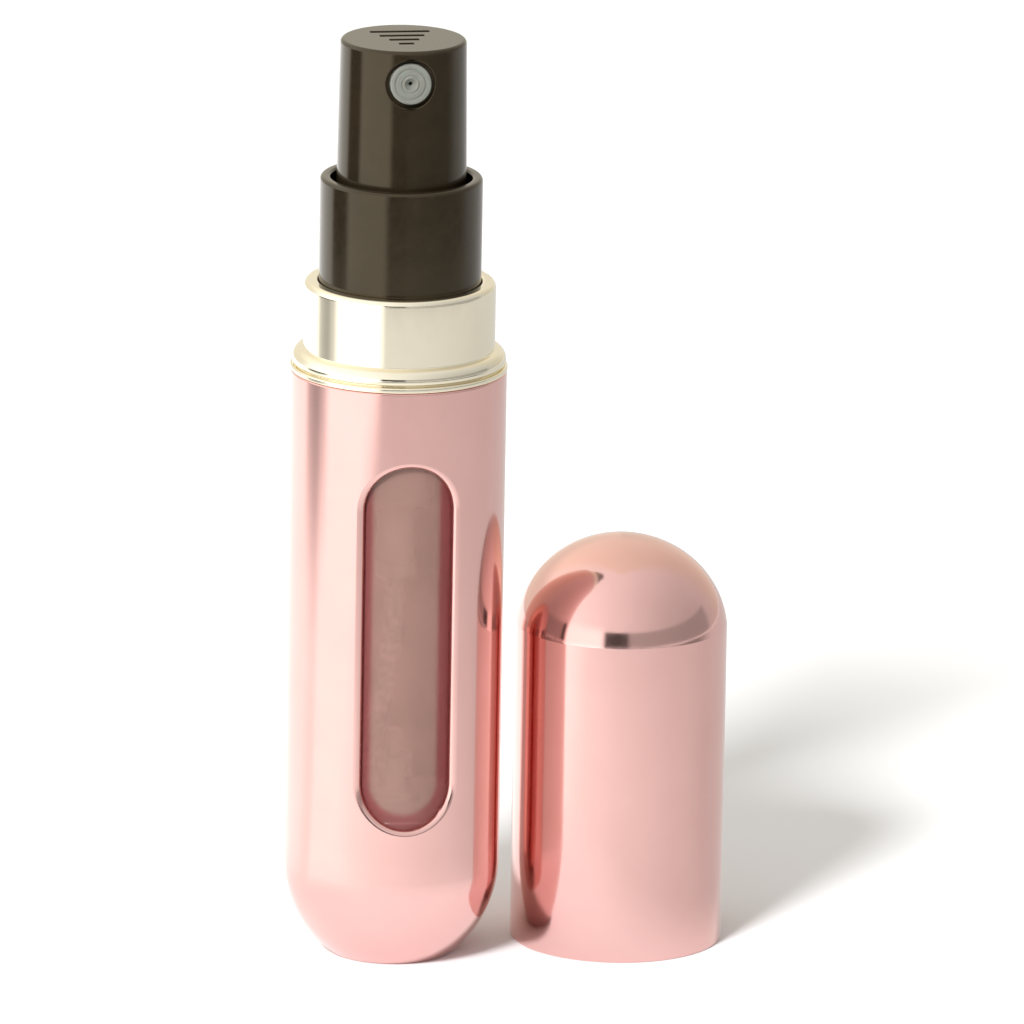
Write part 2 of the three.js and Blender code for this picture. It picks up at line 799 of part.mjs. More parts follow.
function fillerCage() {
  const plugRadius = valveChamberRadius - pressGap;
  const plugBottom = rimTop - cagePlugDepth;
  const flangeOutside = rimRadius - slideGap;
  const guideBore = poppetStemRadius + slideGap;
  const profile = [
    [cagePocketRadius, plugBottom],
    [plugRadius, plugBottom],
    [plugRadius, cageFlangeBottom],
    [flangeOutside, cageFlangeBottom],
    [flangeOutside, cageFlangeTop],
    [cageNeckRadius, cageFlangeTop],
    [cageNeckRadius, cageTop],
    [guideBore, cageTop],
    [guideBore, cagePocketTop],
    [cagePocketRadius, cagePocketTop],
  ];
  const slotHeight = cagePocketTop - cageFlangeTop - slideGap;
  const slots = [45, 135].map((angle) =>
    new THREE.BoxGeometry(4 * cageNeckRadius, cageSlotWidth, slotHeight)
      .rotateZ(THREE.MathUtils.degToRad(angle))
      .translate(0, 0, cageFlangeTop + slotHeight / 2),
  );
  return piece("filler_cage", cut(turned(profile, SMALL), ...slots), "white");
}

function fillerSpring() {
  const bottom = poppetHeadTop + seatGap;
  const top = cagePocketTop - seatGap;
  const coil = spring(fillerSpringRadius, fillerSpringWire, bottom, top, fillerSpringTurns);
  return piece("filler_spring", coil, "steel");
}

// ---------------------------------------------------------------- cap

function capShell() {
  const innerDome = capDomeHeight - capWall;
  const profile = [
    [0, capStraight + innerDome],
    ...arc(0, capStraight, capBore, innerDome, 90, 0, 6).slice(1),
    [capBore, 0],
    [capRadius, 0],
    ...arc(0, capStraight, capRadius, capDomeHeight, 0, 90, 8).slice(0, -1),
    [0, capStraight + capDomeHeight],
  ];
  return piece("cap_shell", turned(profile, LARGE), "pink");
}

// A sleeve inside the cap. Its ribs grip the collar when the cap is on.
function capLiner() {
  const tube = ring(linerBore, linerRadius, linerInset, linerInset + linerHeight, LARGE);
  const ribInner = collarRadius + pressGap;
  const ribOuter = linerRadius - linerRibRoot;
  const ribMiddle = linerInset + linerRibInset + linerRibHeight / 2;
  const ribs = [];
  for (let i = 0; i < linerRibCount; i++) {
    const rib = new THREE.BoxGeometry(ribOuter - ribInner, linerRibWidth, linerRibHeight);
    rib.translate((ribOuter + ribInner) / 2, 0, ribMiddle);
    ribs.push(rib.rotateZ((2 * Math.PI * i) / linerRibCount));
  }
  return piece("cap_liner", join(tube, ...ribs), "white");
}

// ---------------------------------------------------------------- assembly

const bottle = new THREE.Group();
bottle.add(outerShell(), innerBottle(), collar(), guardSleeve());
bottle.add(neckGasket(), pumpHousing(), stemSeal(), checkBall(), dipTube());
bottle.add(pumpStem(), pumpPiston(), pumpPin(), pumpSpring());
bottle.add(sprayButton(), sprayNozzle());
bottle.add(fillerBody(), fillerGasket(), fillerSeal(), fillerPoppet(), fillerCage(), fillerSpring());

const cap = new THREE.Group();
cap.add(capShell(), capLiner());
cap.position.set(capX, capY, 0);

// The box around both reaches from the collar's flange to the cap's far side, along X and along Y.
const atomiser = new THREE.Group();
atomiser.add(bottle, cap);
atomiser.position.x = -(capX + capRadius - flangeRadius) / 2;
atomiser.position.y = -(capY + capRadius - flangeRadius) / 2;

const scene = new THREE.Group();
scene.add(atomiser);

export default scene;
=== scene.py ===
# The looks of the pocket atomiser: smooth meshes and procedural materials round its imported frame.

import math

import bpy
from mathutils import Matrix, Quaternion, Vector
from mathutils.geometry import delaunay_2d_cdt

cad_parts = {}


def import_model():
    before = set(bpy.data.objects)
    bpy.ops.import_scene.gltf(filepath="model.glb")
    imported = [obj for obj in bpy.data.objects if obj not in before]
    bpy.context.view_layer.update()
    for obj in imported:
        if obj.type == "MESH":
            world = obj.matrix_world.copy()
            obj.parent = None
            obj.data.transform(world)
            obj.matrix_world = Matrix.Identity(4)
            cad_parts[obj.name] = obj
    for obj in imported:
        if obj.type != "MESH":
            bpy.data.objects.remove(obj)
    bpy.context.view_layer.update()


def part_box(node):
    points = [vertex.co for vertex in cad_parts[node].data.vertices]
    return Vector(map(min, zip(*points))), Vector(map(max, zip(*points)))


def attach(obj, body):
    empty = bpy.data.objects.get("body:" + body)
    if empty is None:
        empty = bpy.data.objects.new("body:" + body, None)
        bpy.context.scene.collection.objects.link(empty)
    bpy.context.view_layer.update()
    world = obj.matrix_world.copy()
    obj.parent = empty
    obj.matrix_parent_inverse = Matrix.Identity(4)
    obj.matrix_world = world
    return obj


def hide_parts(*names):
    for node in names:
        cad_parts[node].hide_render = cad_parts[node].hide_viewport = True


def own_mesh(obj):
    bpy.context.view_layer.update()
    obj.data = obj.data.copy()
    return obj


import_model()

MM = 0.001
TINY = 1e-6  # millimetres

# ---- camera

CAMERA_AZIMUTH = math.radians(-8)
CAMERA_ELEVATION = math.radians(14.87)
CAMERA_ROLL = math.radians(0.994)
CAMERA_DISTANCE = 1.1
CAMERA_LENS = 491.5
CAMERA_TARGET = Vector((9.0, -1.265, 35.82)) * MM  # from the bottle's foot


def axis_of(node):
    """The upright centre line of a turned node, as a point on the table."""
    low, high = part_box(node)
    return Vector(((low.x + high.x) / 2, (low.y + high.y) / 2, 0))


BOTTLE = axis_of("outer_shell")
CAP = axis_of("cap_shell")


def new_object(name, data):
    thing = bpy.data.objects.new(name, data)
    bpy.context.scene.collection.objects.link(thing)
    return thing


def make_camera():
    flat = math.cos(CAMERA_ELEVATION)
    back = Vector((
        math.sin(CAMERA_AZIMUTH) * flat,
        -math.cos(CAMERA_AZIMUTH) * flat,
        math.sin(CAMERA_ELEVATION),
    ))
    camera = new_object("camera", bpy.data.cameras.new("camera"))
    camera.data.lens = CAMERA_LENS
    camera.data.sensor_width = 36
    camera.location = BOTTLE + CAMERA_TARGET + back * CAMERA_DISTANCE
    camera.rotation_mode = "QUATERNION"
    facing = (-back).to_track_quat("-Z", "Y")
    camera.rotation_quaternion = facing @ Quaternion((0, 0, 1), CAMERA_ROLL)
    bpy.context.scene.camera = camera


make_camera()

# ---- materials

PATTERN_LOW, PATTERN_HIGH = 0.3, 0.7  # the middle range of a noise pattern
BUMP_HEIGHT = 0.02 * MM
MIX_A, MIX_B, MIX_RESULT = 6, 7, 2  # the colour sockets of a Mix node


def new_material(name, **sockets):
    """A Principled material with the given sockets set, and its shader node."""
    material = bpy.data.materials.new(name)
    material.use_nodes = True
    shader = material.node_tree.nodes["Principled BSDF"]
    set_inputs(material, shader, **sockets)
    return material, shader


def link(owner, source, target):
    owner.node_tree.links.new(source, target)


def set_input(owner, target, value):
    """Gives a node's input a value, or links another node's output to it."""
    if isinstance(value, bpy.types.NodeSocket):
        link(owner, value, target)
    else:
        target.default_value = value


def set_inputs(owner, node, **settings):
    """Sets a node's inputs and settings. The spaces in an input's name are written as _."""
    for name, value in settings.items():
        socket = name.replace("_", " ")
        if socket in node.inputs:
            set_input(owner, node.inputs[socket], value)
        else:
            setattr(node, name, value)


def add_node(owner, kind, **settings):
    """A new node in a material or a world."""
    node = owner.node_tree.nodes.new(kind)
    set_inputs(owner, node, **settings)
    return node


def math_node(owner, operation, *values):
    """The result of one step of arithmetic on numbers or sockets."""
    node = add_node(owner, "ShaderNodeMath", operation=operation)
    for socket, value in zip(node.inputs, values):
        set_input(owner, socket, value)
    return node.outputs[0]


def mixed_colour(owner, share, first, second):
    mix = add_node(owner, "ShaderNodeMix", data_type="RGBA", Factor=share)
    set_input(owner, mix.inputs[MIX_A], first)
    set_input(owner, mix.inputs[MIX_B], second)
    return mix.outputs[MIX_RESULT]


def mix_shaders(material, share, first, second):
    """Sends a mix of two shaders to the material's surface."""
    mix = add_node(material, "ShaderNodeMixShader", Fac=share)
    link(material, first.outputs[0], mix.inputs[1])
    link(material, second.outputs[0], mix.inputs[2])
    link(material, mix.outputs[0], material.node_tree.nodes["Material Output"].inputs["Surface"])


def noise(material, scale, detail=3.0, stretch=(1, 1, 1)):
    """A noise pattern in the piece's own millimetres, wider or narrower along each axis."""
    place = add_node(material, "ShaderNodeTexCoord").outputs["Object"]
    mapping = add_node(material, "ShaderNodeMapping", Vector=place, Scale=[s / MM for s in stretch])
    vector = mapping.outputs["Vector"]
    pattern = add_node(material, "ShaderNodeTexNoise", Vector=vector, Scale=scale, Detail=detail)
    return pattern.outputs["Fac"]


def remap(material, source, low, high):
    """The pattern's middle range stretched to run from low to high."""
    node = add_node(
        material, "ShaderNodeMapRange",
        Value=source, From_Min=PATTERN_LOW, From_Max=PATTERN_HIGH, To_Min=low, To_Max=high,
    )
    return node.outputs["Result"]


def tint(material, source, dark, light):
    """The pattern as a colour between two colours."""
    ramp = add_node(material, "ShaderNodeValToRGB", Fac=source)
    ends = ramp.color_ramp.elements
    for end, position, colour in zip(ends, (PATTERN_LOW, PATTERN_HIGH), (dark, light)):
        end.position = position
        end.color = (*colour, 1)
    return ramp.outputs["Color"]


def bump(material, source, strength):
    node = add_node(material, "ShaderNodeBump", Height=source, Strength=strength, Distance=BUMP_HEIGHT)
    return node.outputs["Normal"]


def metal(name, dark, light, roughness, grain):
    """Bright metal with a faint turned grain and slightly uneven polish."""
    material, shader = new_material(name, Metallic=1.0)
    polish = noise(material, 1.2, 4.0, (1, 1, 0.4))
    lines = noise(material, 1.0, 2.0, (0.6, 0.6, 9.0))
    set_inputs(
        material, shader, Base_Color=tint(material, noise(material, 0.25), dark, light),
        Roughness=remap(material, polish, *roughness), Normal=bump(material, lines, grain),
    )
    return material


def plastic(name, dark, light, roughness, speck, **sockets):
    """Moulded plastic with faint mottling, uneven gloss and a fine moulded skin."""
    material, shader = new_material(name, **sockets)
    gloss = noise(material, 2.0, 5.0)
    skin = noise(material, 3.5, 4.0)
    set_inputs(
        material, shader, Base_Color=tint(material, noise(material, 0.5, 4.0), dark, light),
        Roughness=remap(material, gloss, *roughness), Normal=bump(material, skin, speck),
    )
    return material


# Painted reflection: the shell's pink light inside the clear bottle, seen through the window, is painted
# into the frost's colour, and painted deeper red towards the window's edges. From the bottle's axis.
SHELL_LIGHT_LEFT, SHELL_LIGHT_RIGHT, SHELL_LIGHT_FOOT = -2.85 * MM, 2.55 * MM, 12.9 * MM
HAZE_AND_SHELL_LIGHT_MIDDLE = ((0.41, 0.235, 0.195), (0.44, 0.25, 0.21))
PAINTED_SHELL_REFLECTION_EDGE = (0.33, 0.075, 0.075)
HAZE_AND_SHELL_LIGHT_SHARE = (0.36, 0.40)
SHELL_LIGHT_FADE = (-0.4 * MM, 0.2 * MM)  # where the middle's colour starts and ends to turn into the edge's


def shell_light_reach(material, half_width):
    """How far a place is from the upright centre line of the painted shell reflection, which ends at its
    lower round's centre.
    """
    place = add_node(material, "ShaderNodeTexCoord").outputs["Object"]
    parts = add_node(material, "ShaderNodeSeparateXYZ", Vector=place)
    middle = BOTTLE.x + (SHELL_LIGHT_LEFT + SHELL_LIGHT_RIGHT) / 2
    across = math_node(material, "SUBTRACT", parts.outputs["X"], middle)
    below = math_node(material, "SUBTRACT", SHELL_LIGHT_FOOT + half_width, parts.outputs["Z"])
    below = math_node(material, "MAXIMUM", below, 0.0)
    squares = [math_node(material, "MULTIPLY", side, side) for side in (across, below)]
    return math_node(material, "SQRT", math_node(material, "ADD", *squares))


def frosted_clear(name):
    """Frosted clear plastic with the shell's pink light painted into its frost colour as a painted
    reflection, painted deeper red by the window's edges.
    """
    material, glass = new_material(name, Transmission_Weight=1.0, IOR=1.42)
    cloud = noise(material, 0.4, 4.0)
    set_inputs(
        material, glass, Base_Color=tint(material, cloud, (0.88, 0.80, 0.77), (0.94, 0.88, 0.85)),
        Roughness=remap(material, noise(material, 2.0, 5.0), 0.10, 0.17),
    )
    half_width = (SHELL_LIGHT_RIGHT - SHELL_LIGHT_LEFT) / 2
    # Painted reflection: near the window's edges the frost is painted dark red, for the pink shell
    # reflected there; the middle's colour is frost with painted pink shell light.
    edge = add_node(
        material, "ShaderNodeMapRange", interpolation_type="SMOOTHSTEP",
        Value=shell_light_reach(material, half_width),
        From_Min=half_width + SHELL_LIGHT_FADE[0], From_Max=half_width + SHELL_LIGHT_FADE[1],
    )
    middle = tint(material, cloud, *HAZE_AND_SHELL_LIGHT_MIDDLE)
    haze_and_painted_reflection = mixed_colour(material, edge.outputs["Result"], middle, (*PAINTED_SHELL_REFLECTION_EDGE, 1))
    frost = add_node(material, "ShaderNodeBsdfDiffuse", Color=haze_and_painted_reflection)
    mix_shaders(material, remap(material, cloud, *HAZE_AND_SHELL_LIGHT_SHARE), glass, frost)
    return material


PINK = metal("pink_anodised", (0.79, 0.485, 0.455), (0.81, 0.505, 0.475), (0.085, 0.13), 0.012)
SILVER = metal("silver_metal", (0.87, 0.81, 0.655), (0.90, 0.84, 0.685), (0.04, 0.065), 0.008)
STEEL = metal("steel", (0.55, 0.56, 0.57), (0.66, 0.67, 0.68), (0.2, 0.35), 0.2)
BLACK = plastic("black_plastic", (0.012, 0.0083, 0.0045), (0.016, 0.011, 0.006), (0.09, 0.15), 0.05,
                IOR=1.52, Specular_Tint=(1.0, 0.88, 0.64, 1.0))
GREY = plastic("grey_plastic", (0.125, 0.13, 0.11), (0.165, 0.17, 0.15), (0.3, 0.45), 0.2,
               Subsurface_Weight=0.2, Subsurface_Scale=0.0006)
WHITE = plastic("white_plastic", (0.62, 0.60, 0.56), (0.74, 0.72, 0.68), (0.35, 0.5), 0.1,
                Transmission_Weight=0.2)
RUBBER = plastic("rubber", (0.02, 0.02, 0.02), (0.04, 0.04, 0.04), (0.55, 0.75), 0.3)
CLEAR = frosted_clear("clear_plastic")
TUBE = plastic("tube_plastic", (0.80, 0.78, 0.74), (0.88, 0.86, 0.83), (0.2, 0.35), 0.03,
               Transmission_Weight=0.25, IOR=1.4)

# ---- meshes


class Surface:
    """Collects the points and faces of one piece, in millimetres from its own foot point."""

    def __init__(self):
        self.points = []
        self.normals = []
        self.faces = []
        self.flat = []
        self.rings = []

    def add(self, point, normal):
        self.points.append(Vector(point))
        self.normals.append(Vector(normal))
        return len(self.points) - 1

    def face(self, corners, flat=False):
        corners = [c for i, c in enumerate(corners) if c != corners[i - 1]]
        if len(corners) > 2:
            self.faces.append(corners)
            self.flat.append(flat)

    def bridge(self, first, second, flat=False):
        """Quads between two closed rows of points. The second row lies to the left of the first."""
        for i in range(len(first)):
            j = (i + 1) % len(first)
            self.face((first[i], first[j], second[j], second[i]), flat)

    def build(self, name, node, material, body="bottle", foot=BOTTLE, slot=None):
        """Makes the piece's object, on its body and in place of its node.

        slot is not used.
        """
        mesh = bpy.data.meshes.new(name)
        points = [foot + p * MM for p in self.points]
        mesh.from_pydata([tuple(p) for p in points], [], self.faces)
        mesh.update()
        corner_normals = []
        for face, flat, polygon in zip(self.faces, self.flat, mesh.polygons):
            polygon.use_smooth = True
            for corner in face:
                corner_normals.append(polygon.normal.copy() if flat else self.normals[corner])
        mesh.normals_split_custom_set([tuple(n) for n in corner_normals])
        mesh.materials.append(material)
        piece = new_object(name, mesh)
        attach(piece, body)
        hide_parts(node)
        return piece


def arc(r, z, half_width, half_height, start, end, steps):
    """Points on an ellipse about (r, z), from one angle to another in degrees."""
    turns = [math.radians(start + (end - start) * i / steps) for i in range(steps + 1)]
    return [(r + half_width * math.cos(a), z + half_height * math.sin(a), 0) for a in turns]


MOST_ROUNDED = 0.45  # share of a side that a rounded corner may take up


def rounded(corners, edge=0.05, steps=4):
    """An outline with its corners rounded. A corner is (r, z) or (r, z, radius), and radius 0 keeps it."""
    outline = []
    closed = corners[0][0] > 0
    for i, corner in enumerate(corners):
        here = Vector(corner[:2])
        radius = corner[2] if len(corner) > 2 else edge
        is_end = not closed and i in (0, len(corners) - 1)
        if radius == 0 or is_end:
            outline.append(here)
            continue
        before = Vector(corners[i - 1][:2]) - here
        after = Vector(corners[(i + 1) % len(corners)][:2]) - here
        half = before.angle(after) / 2
        longest = MOST_ROUNDED * min(before.length, after.length)
        reach = min(radius / math.tan(half), longest)
        start = before.normalized()
        end = after.normalized()
        centre = here + (start + end).normalized() * (reach / math.cos(half))
        first = here + start * reach - centre
        last = here + end * reach - centre
        sweep = first.angle_signed(last)
        for k in range(steps + 1):
            outline.append(centre + Matrix.Rotation(-sweep * k / steps, 2) @ first)
    return outline


def outline_normals(outline):
    """The outward direction at each point of an outline that runs up the outside."""
    closed = outline[0].x > 0
    count = len(outline)
    sides = []
    for i in range(count):
        along = outline[(i + 1) % count] - outline[i]
        sides.append(Vector((along.y, -along.x)) * along.length)
    if not closed:
        sides[-1] = Vector((0, 0))
    return [(sides[i] + sides[i - 1]).normalized() for i in range(count)]


def spin(r, z, angle):
    """A point at an angle about Z, counted from the front."""
    return Vector((r * math.sin(angle), -r * math.cos(angle), z))


def add_ring(surface, point, normal, angles):
    """A ring of points from one point of an outline, or one pole where the outline meets the axis."""
    if point.x < TINY:
        pole = surface.add((0, 0, point.y), (0, 0, math.copysign(1, normal.y)))
        return [pole] * len(angles)
    return [surface.add(spin(point.x, point.y, a), spin(normal.x, normal.y, a)) for a in angles]


TURNS = 144
EVEN_ANGLES = [2 * math.pi * i / TURNS for i in range(TURNS)]


def turned(outline, angles=EVEN_ANGLES, is_open=lambda row, column: False):
    """A turned surface from an outline. is_open says which of its cells stay open."""
    surface = Surface()
    normals = outline_normals(outline)
    surface.rings = [add_ring(surface, p, n, angles) for p, n in zip(outline, normals)]
    last = len(outline) - (0 if outline[0].x > 0 else 1)
    for i in range(last):
        first, second = surface.rings[i], surface.rings[(i + 1) % len(outline)]
        for j in range(len(angles)):
            if not is_open(i, j):
                k = (j + 1) % len(angles)
                surface.face((first[j], first[k], second[k], second[j]))
    return surface


def swept(path, radius, bore, sides):
    """A round bar or tube along a path, with flat ends."""
    surface = Surface()
    side = Vector((1, 0, 0))
    sections = []
    for i, here in enumerate(path):
        along = (path[min(i + 1, len(path) - 1)] - path[max(i - 1, 0)]).normalized()
        side = (side - along * side.dot(along)).normalized()
        other = along.cross(side)
        turns = [2 * math.pi * k / sides for k in range(sides)]
        spokes = [side * math.cos(turn) + other * math.sin(turn) for turn in turns]
        outer = [surface.add(here + s * radius, s) for s in spokes]
        inner = [surface.add(here + s * bore, -s) for s in spokes] if bore else None
        sections.append((outer, inner))
    for (outer, inner), (next_outer, next_inner) in zip(sections, sections[1:]):
        surface.bridge(outer, next_outer)
        if bore:
            surface.bridge(next_inner, inner)
    first, last = sections[0], sections[-1]
    if bore:
        surface.bridge(first[1], first[0], flat=True)
        surface.bridge(last[0], last[1], flat=True)
    else:
        surface.face(first[0][::-1], flat=True)
        surface.face(last[0], flat=True)
    return surface


# ---- a wall with a round-ended opening


class Opening:
    """The mesh of a turned wall round an opening at its front, which has round ends and a rolled edge.

    A band of the wall's rows and columns makes room for it. Each place on the band's border is joined to
    one on the opening's edge.
    """

    def __init__(self, half_width, bottom, top, side_margin, end_margin, columns, corner_rows, side_rows):
        self.half_width = half_width
        self.low_centre = bottom + half_width
        self.high_centre = top - half_width
        self.border = half_width + side_margin
        self.columns = columns
        self.corner_rows = corner_rows
        self.side_rows = side_rows
        low = bottom - end_margin
        high = top + end_margin
        self.levels = [low + (self.low_centre - low) * i / corner_rows for i in range(corner_rows)]
        rise = self.high_centre - self.low_centre
        self.levels += [self.low_centre + rise * i / side_rows for i in range(side_rows)]
        self.levels += [
            self.high_centre + (high - self.high_centre) * i / corner_rows
            for i in range(corner_rows + 1)
        ]

    def angles(self, radius, rest):
        """Column angles from the opening's left border all the way round. The first columns span it."""
        border_angle = math.asin(self.border / radius)
        across = [border_angle * (2 * i / self.columns - 1) for i in range(self.columns)]
        round_back = 2 * math.pi - 2 * border_angle
        return across + [border_angle + round_back * i / rest for i in range(rest)]

    def loop(self):
        """For each place: its (row, column) on the border, its edge's centre height, and its direction."""
        rows, columns = len(self.levels) - 1, self.columns
        corner, sides = self.corner_rows, self.side_rows
        steps = columns + 2 * corner
        low_end = [(corner - i, 0) for i in range(corner)]
        low_end += [(0, i) for i in range(columns)]
        low_end += [(i, columns) for i in range(corner)]
        high_end = [(corner + sides + i, columns) for i in range(corner)]
        high_end += [(rows, columns - i) for i in range(columns)]
        high_end += [(rows - i, 0) for i in range(corner)]
        right = [corner + i for i in range(sides)]
        left = [corner + sides - i for i in range(sides)]
        places = [(cell, self.low_centre, math.pi * (1 + i / steps)) for i, cell in enumerate(low_end)]
        places += [((row, columns), self.levels[row], 0.0) for row in right]
        places += [(cell, self.high_centre, math.pi * i / steps) for i, cell in enumerate(high_end)]
        places += [((row, 0), self.levels[row], math.pi) for row in left]
        return [(cell, centre, (math.cos(turn), math.sin(turn))) for cell, centre, turn in places]

    def edge_ring(self, surface, radius_at, offset, depth, lean):
        """A ring at an offset out from the opening's edge and a depth under the wall's surface.

        lean is the normal's turn from straight out of the wall towards the opening's middle.
        """
        ring = []
        for _, centre, (mx, mz) in self.loop():
            x = (self.half_width + offset) * mx
            z = centre + (self.half_width + offset) * mz
            angle = math.asin(x / radius_at(z))
            out = spin(1, 0, angle)
            sideways = Vector((math.cos(angle), math.sin(angle), 0))
            middle = -(sideways * mx + Vector((0, 0, 1)) * mz)
            normal = out * math.cos(lean) + middle * math.sin(lean)
            ring.append(surface.add(spin(radius_at(z) - depth, z, angle), normal.normalized()))
        return ring

    def patch(self, surface, border_cells, edge_start, radius_at, depth, inward, steps):
        """Rings on the wall's surface from the band's border to the opening's edge, as lists of points.

        border_cells gives the point at a (row, column) of the border.
        """
        rings = [[border_cells(cell) for cell, _, _ in self.loop()]]
        for k in range(1, steps):
            share = k / steps
            ring = []
            for place, (_, centre, (mx, mz)) in enumerate(self.loop()):
                start = surface.points[rings[0][place]]
                start_angle = math.atan2(start.x, -start.y)
                x = (self.half_width + edge_start) * mx
                z = centre + (self.half_width + edge_start) * mz
                angle = start_angle + (math.asin(x / radius_at(z)) - start_angle) * share
                height = start.z + (z - start.z) * share
                normal = spin(-1 if inward else 1, 0, angle)
                ring.append(surface.add(spin(radius_at(height) - depth, height, angle), normal))
            rings.append(ring)
        return rings


def wall_with_opening(outline, opening, outer_rows, inner_rows, angles, edge_rings, radius_at, wall):
    """A turned surface with an opening through its outer wall, or through both walls.

    outer_rows and inner_rows are the first and last row of each band, and inner_rows is None for a blind
    hole. Returns the surface and the last ring of the opening's edge.
    """
    bands = [outer_rows] + ([inner_rows] if inner_rows else [])

    def is_open(row, column):
        return column < opening.columns and any(low <= row < high for low, high in bands)

    surface = turned(outline, angles, is_open)
    rings = surface.rings
    start, end = edge_rings[0][0], edge_rings[-1][0]
    loops = opening.patch(
        surface, lambda cell: rings[outer_rows[0] + cell[0]][cell[1]], start, radius_at, 0.0, False, 5,
    )
    for offset, depth, lean in edge_rings:
        loops.append(opening.edge_ring(surface, radius_at, offset, depth, math.radians(lean)))
    if inner_rows:
        inside = opening.patch(
            surface, lambda cell: rings[inner_rows[1] - cell[0]][cell[1]], end, radius_at, wall, True, 4,
        )
        loops += inside[:0:-1] + [inside[0]]
    for first, second in zip(loops, loops[1:]):
        surface.bridge(first, second)
    return surface, loops[-1]


# ---- sizes from the frame, in millimetres


def span(node):
    """Radius, lowest and highest point of a turned node about its own axis, in millimetres."""
    low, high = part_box(node)
    return (high.x - low.x) / 2 / MM, low.z / MM, high.z / MM


SEAT = 0.02  # between faces that rest on each other

SHELL_R, _, SHELL_TOP = span("outer_shell")
SHELL_WALL = 0.6
BASE_FLAT_R = 4.9
BASE_DEPTH = 9.2
PORT_HOLE_R = 3.1
SEAM = BASE_DEPTH * math.sqrt(1 - (BASE_FLAT_R / SHELL_R) ** 2)  # the top of the round base
WINDOW_BOTTOM = 11.9
WINDOW_TOP = 41.35
WINDOW_HALF = 3.7
WINDOW_ROLL = 0.45  # how far the window's rolled edge reaches out from it
WINDOW_SINK = 0.5

BOTTLE_R = 7.7
SHOULDER = 46.2
NECK_R = 5.3
NECK_TOP = 50.6

COLLAR_R = 7.535
COLLAR_BORE = 7.035
COLLAR_SEAT = SHELL_TOP + SEAT
COLLAR_TOP = 54.55
COLLAR_LIP_UNDERSIDE = 54.05
GUARD_R = 6.375
GUARD_TOP = 62.9

PUMP_INLET = 30.59
FLANGE_R = 5.2
FLANGE_TOP = 52.04
GLAND_TOP = 52.84
STEM_R = 1.2
STEM_BORE = 0.5
STEM_FOOT = 47.71
STEM_TOP = 61.49
PISTON_R = 2.15

VALVE_SEAT = 6.58
INSERT_R = 6.88
INSERT_TOP = 12.32
SPRING_CUP_R = 2.25
SPRING_CUP_TOP = 12.72


def rows_at(outline, radius, low):
    """The rows of an outline that lie on a straight wall of the given radius above a height."""
    return [i for i, p in enumerate(outline) if abs(p.x - radius) < TINY and p.y > low]


def window_edge():
    """The window's rolled edge, from the shell's outside to its inside, as (offset, depth, lean)."""
    steps = 10
    edge = []
    for i in range(steps + 1):
        turn = math.pi / 2 * i / steps
        offset = WINDOW_ROLL * (1 - math.sin(turn))
        edge.append((offset, WINDOW_SINK * (1 - math.cos(turn)), math.degrees(turn)))
    return edge + [(0.0, 0.56, 90), (0.02, 0.63, 130), (0.08, 0.66, 180), (0.5, 0.62, 180)]


def outer_shell():
    bore = SHELL_R - SHELL_WALL
    inner_depth = BASE_DEPTH - SHELL_WALL
    outer_start = -math.degrees(math.acos(BASE_FLAT_R / SHELL_R))
    inner_start = -math.degrees(math.asin((SEAM - SHELL_WALL) / inner_depth))
    window = Opening(
        WINDOW_HALF, WINDOW_BOTTOM, WINDOW_TOP,
        side_margin=1.5, end_margin=1.5, columns=24, corner_rows=10, side_rows=36,
    )
    base = arc(0, SEAM, SHELL_R, BASE_DEPTH, outer_start, 0, 36)
    base[0] = (*base[0][:2], 0.5)
    outline = rounded([
        (PORT_HOLE_R, 0.0, 0.12),
        *base,
        *[(SHELL_R, z, 0) for z in window.levels],
        (SHELL_R, SHELL_TOP, 0.16),
        (bore, SHELL_TOP, 0.16),
        *[(bore, z, 0) for z in reversed(window.levels)],
        *arc(0, SEAM, bore, inner_depth, 0, inner_start, 20),
        (PORT_HOLE_R, SHELL_WALL, 0.12),
    ])
    outside = rows_at(outline, SHELL_R, SEAM + 0.01)
    inside = rows_at(outline, bore, SEAM + 0.01)
    band = len(window.levels) - 1
    surface, _ = wall_with_opening(
        outline, window, (outside[0], outside[0] + band), (inside[-1] - band, inside[-1]),
        window.angles(SHELL_R, 116), window_edge(), lambda z: SHELL_R, SHELL_WALL,
    )
    surface.build("shell", "outer_shell", PINK)


def turned_piece(name, corners, node, material, body="bottle", edge=0.05):
    turned(rounded(corners, edge)).build(name, node, material, body)


def inner_bottle():
    inside_r, foot, ceiling, neck_bore = 6.9, 7.07, 45.4, 4.5
    corners = [
        (inside_r, foot), (BOTTLE_R, foot, 0.15), (BOTTLE_R, SHOULDER, 1.6), (NECK_R, SHOULDER, 0.2),
        (NECK_R, 48.4), (5.5, 48.6, 0.1), (5.5, 49.0, 0.1), (NECK_R, 49.2),
        (NECK_R, NECK_TOP), (neck_bore, NECK_TOP), (neck_bore, ceiling, 0.3), (inside_r, ceiling, 0.8),
    ]
    turned_piece("vial", corners, "inner_bottle", CLEAR)


def collar():
    skirt_r, skirt_foot, flange_r = 7.85, 46.0, 8.55
    bead = arc(COLLAR_R, 48.28, 0.88, 0.86, -18, 84, 14)
    corners = [
        (7.2, skirt_foot), (skirt_r, skirt_foot, 0.15), (skirt_r, COLLAR_SEAT),
        (flange_r, COLLAR_SEAT, 0.12), (flange_r, 47.84, 0.16),
        (8.1, 47.86, 0.04), (8.1, 47.98, 0.04), *bead,
        (COLLAR_R, 49.18, 0.08), (COLLAR_R, COLLAR_TOP, 0.65), (6.425, COLLAR_TOP, 0.15),
        (6.425, COLLAR_LIP_UNDERSIDE), (COLLAR_BORE, COLLAR_LIP_UNDERSIDE),
        (COLLAR_BORE, COLLAR_SEAT), (7.2, COLLAR_SEAT),
    ]
    turned_piece("collar", corners, "collar", SILVER)


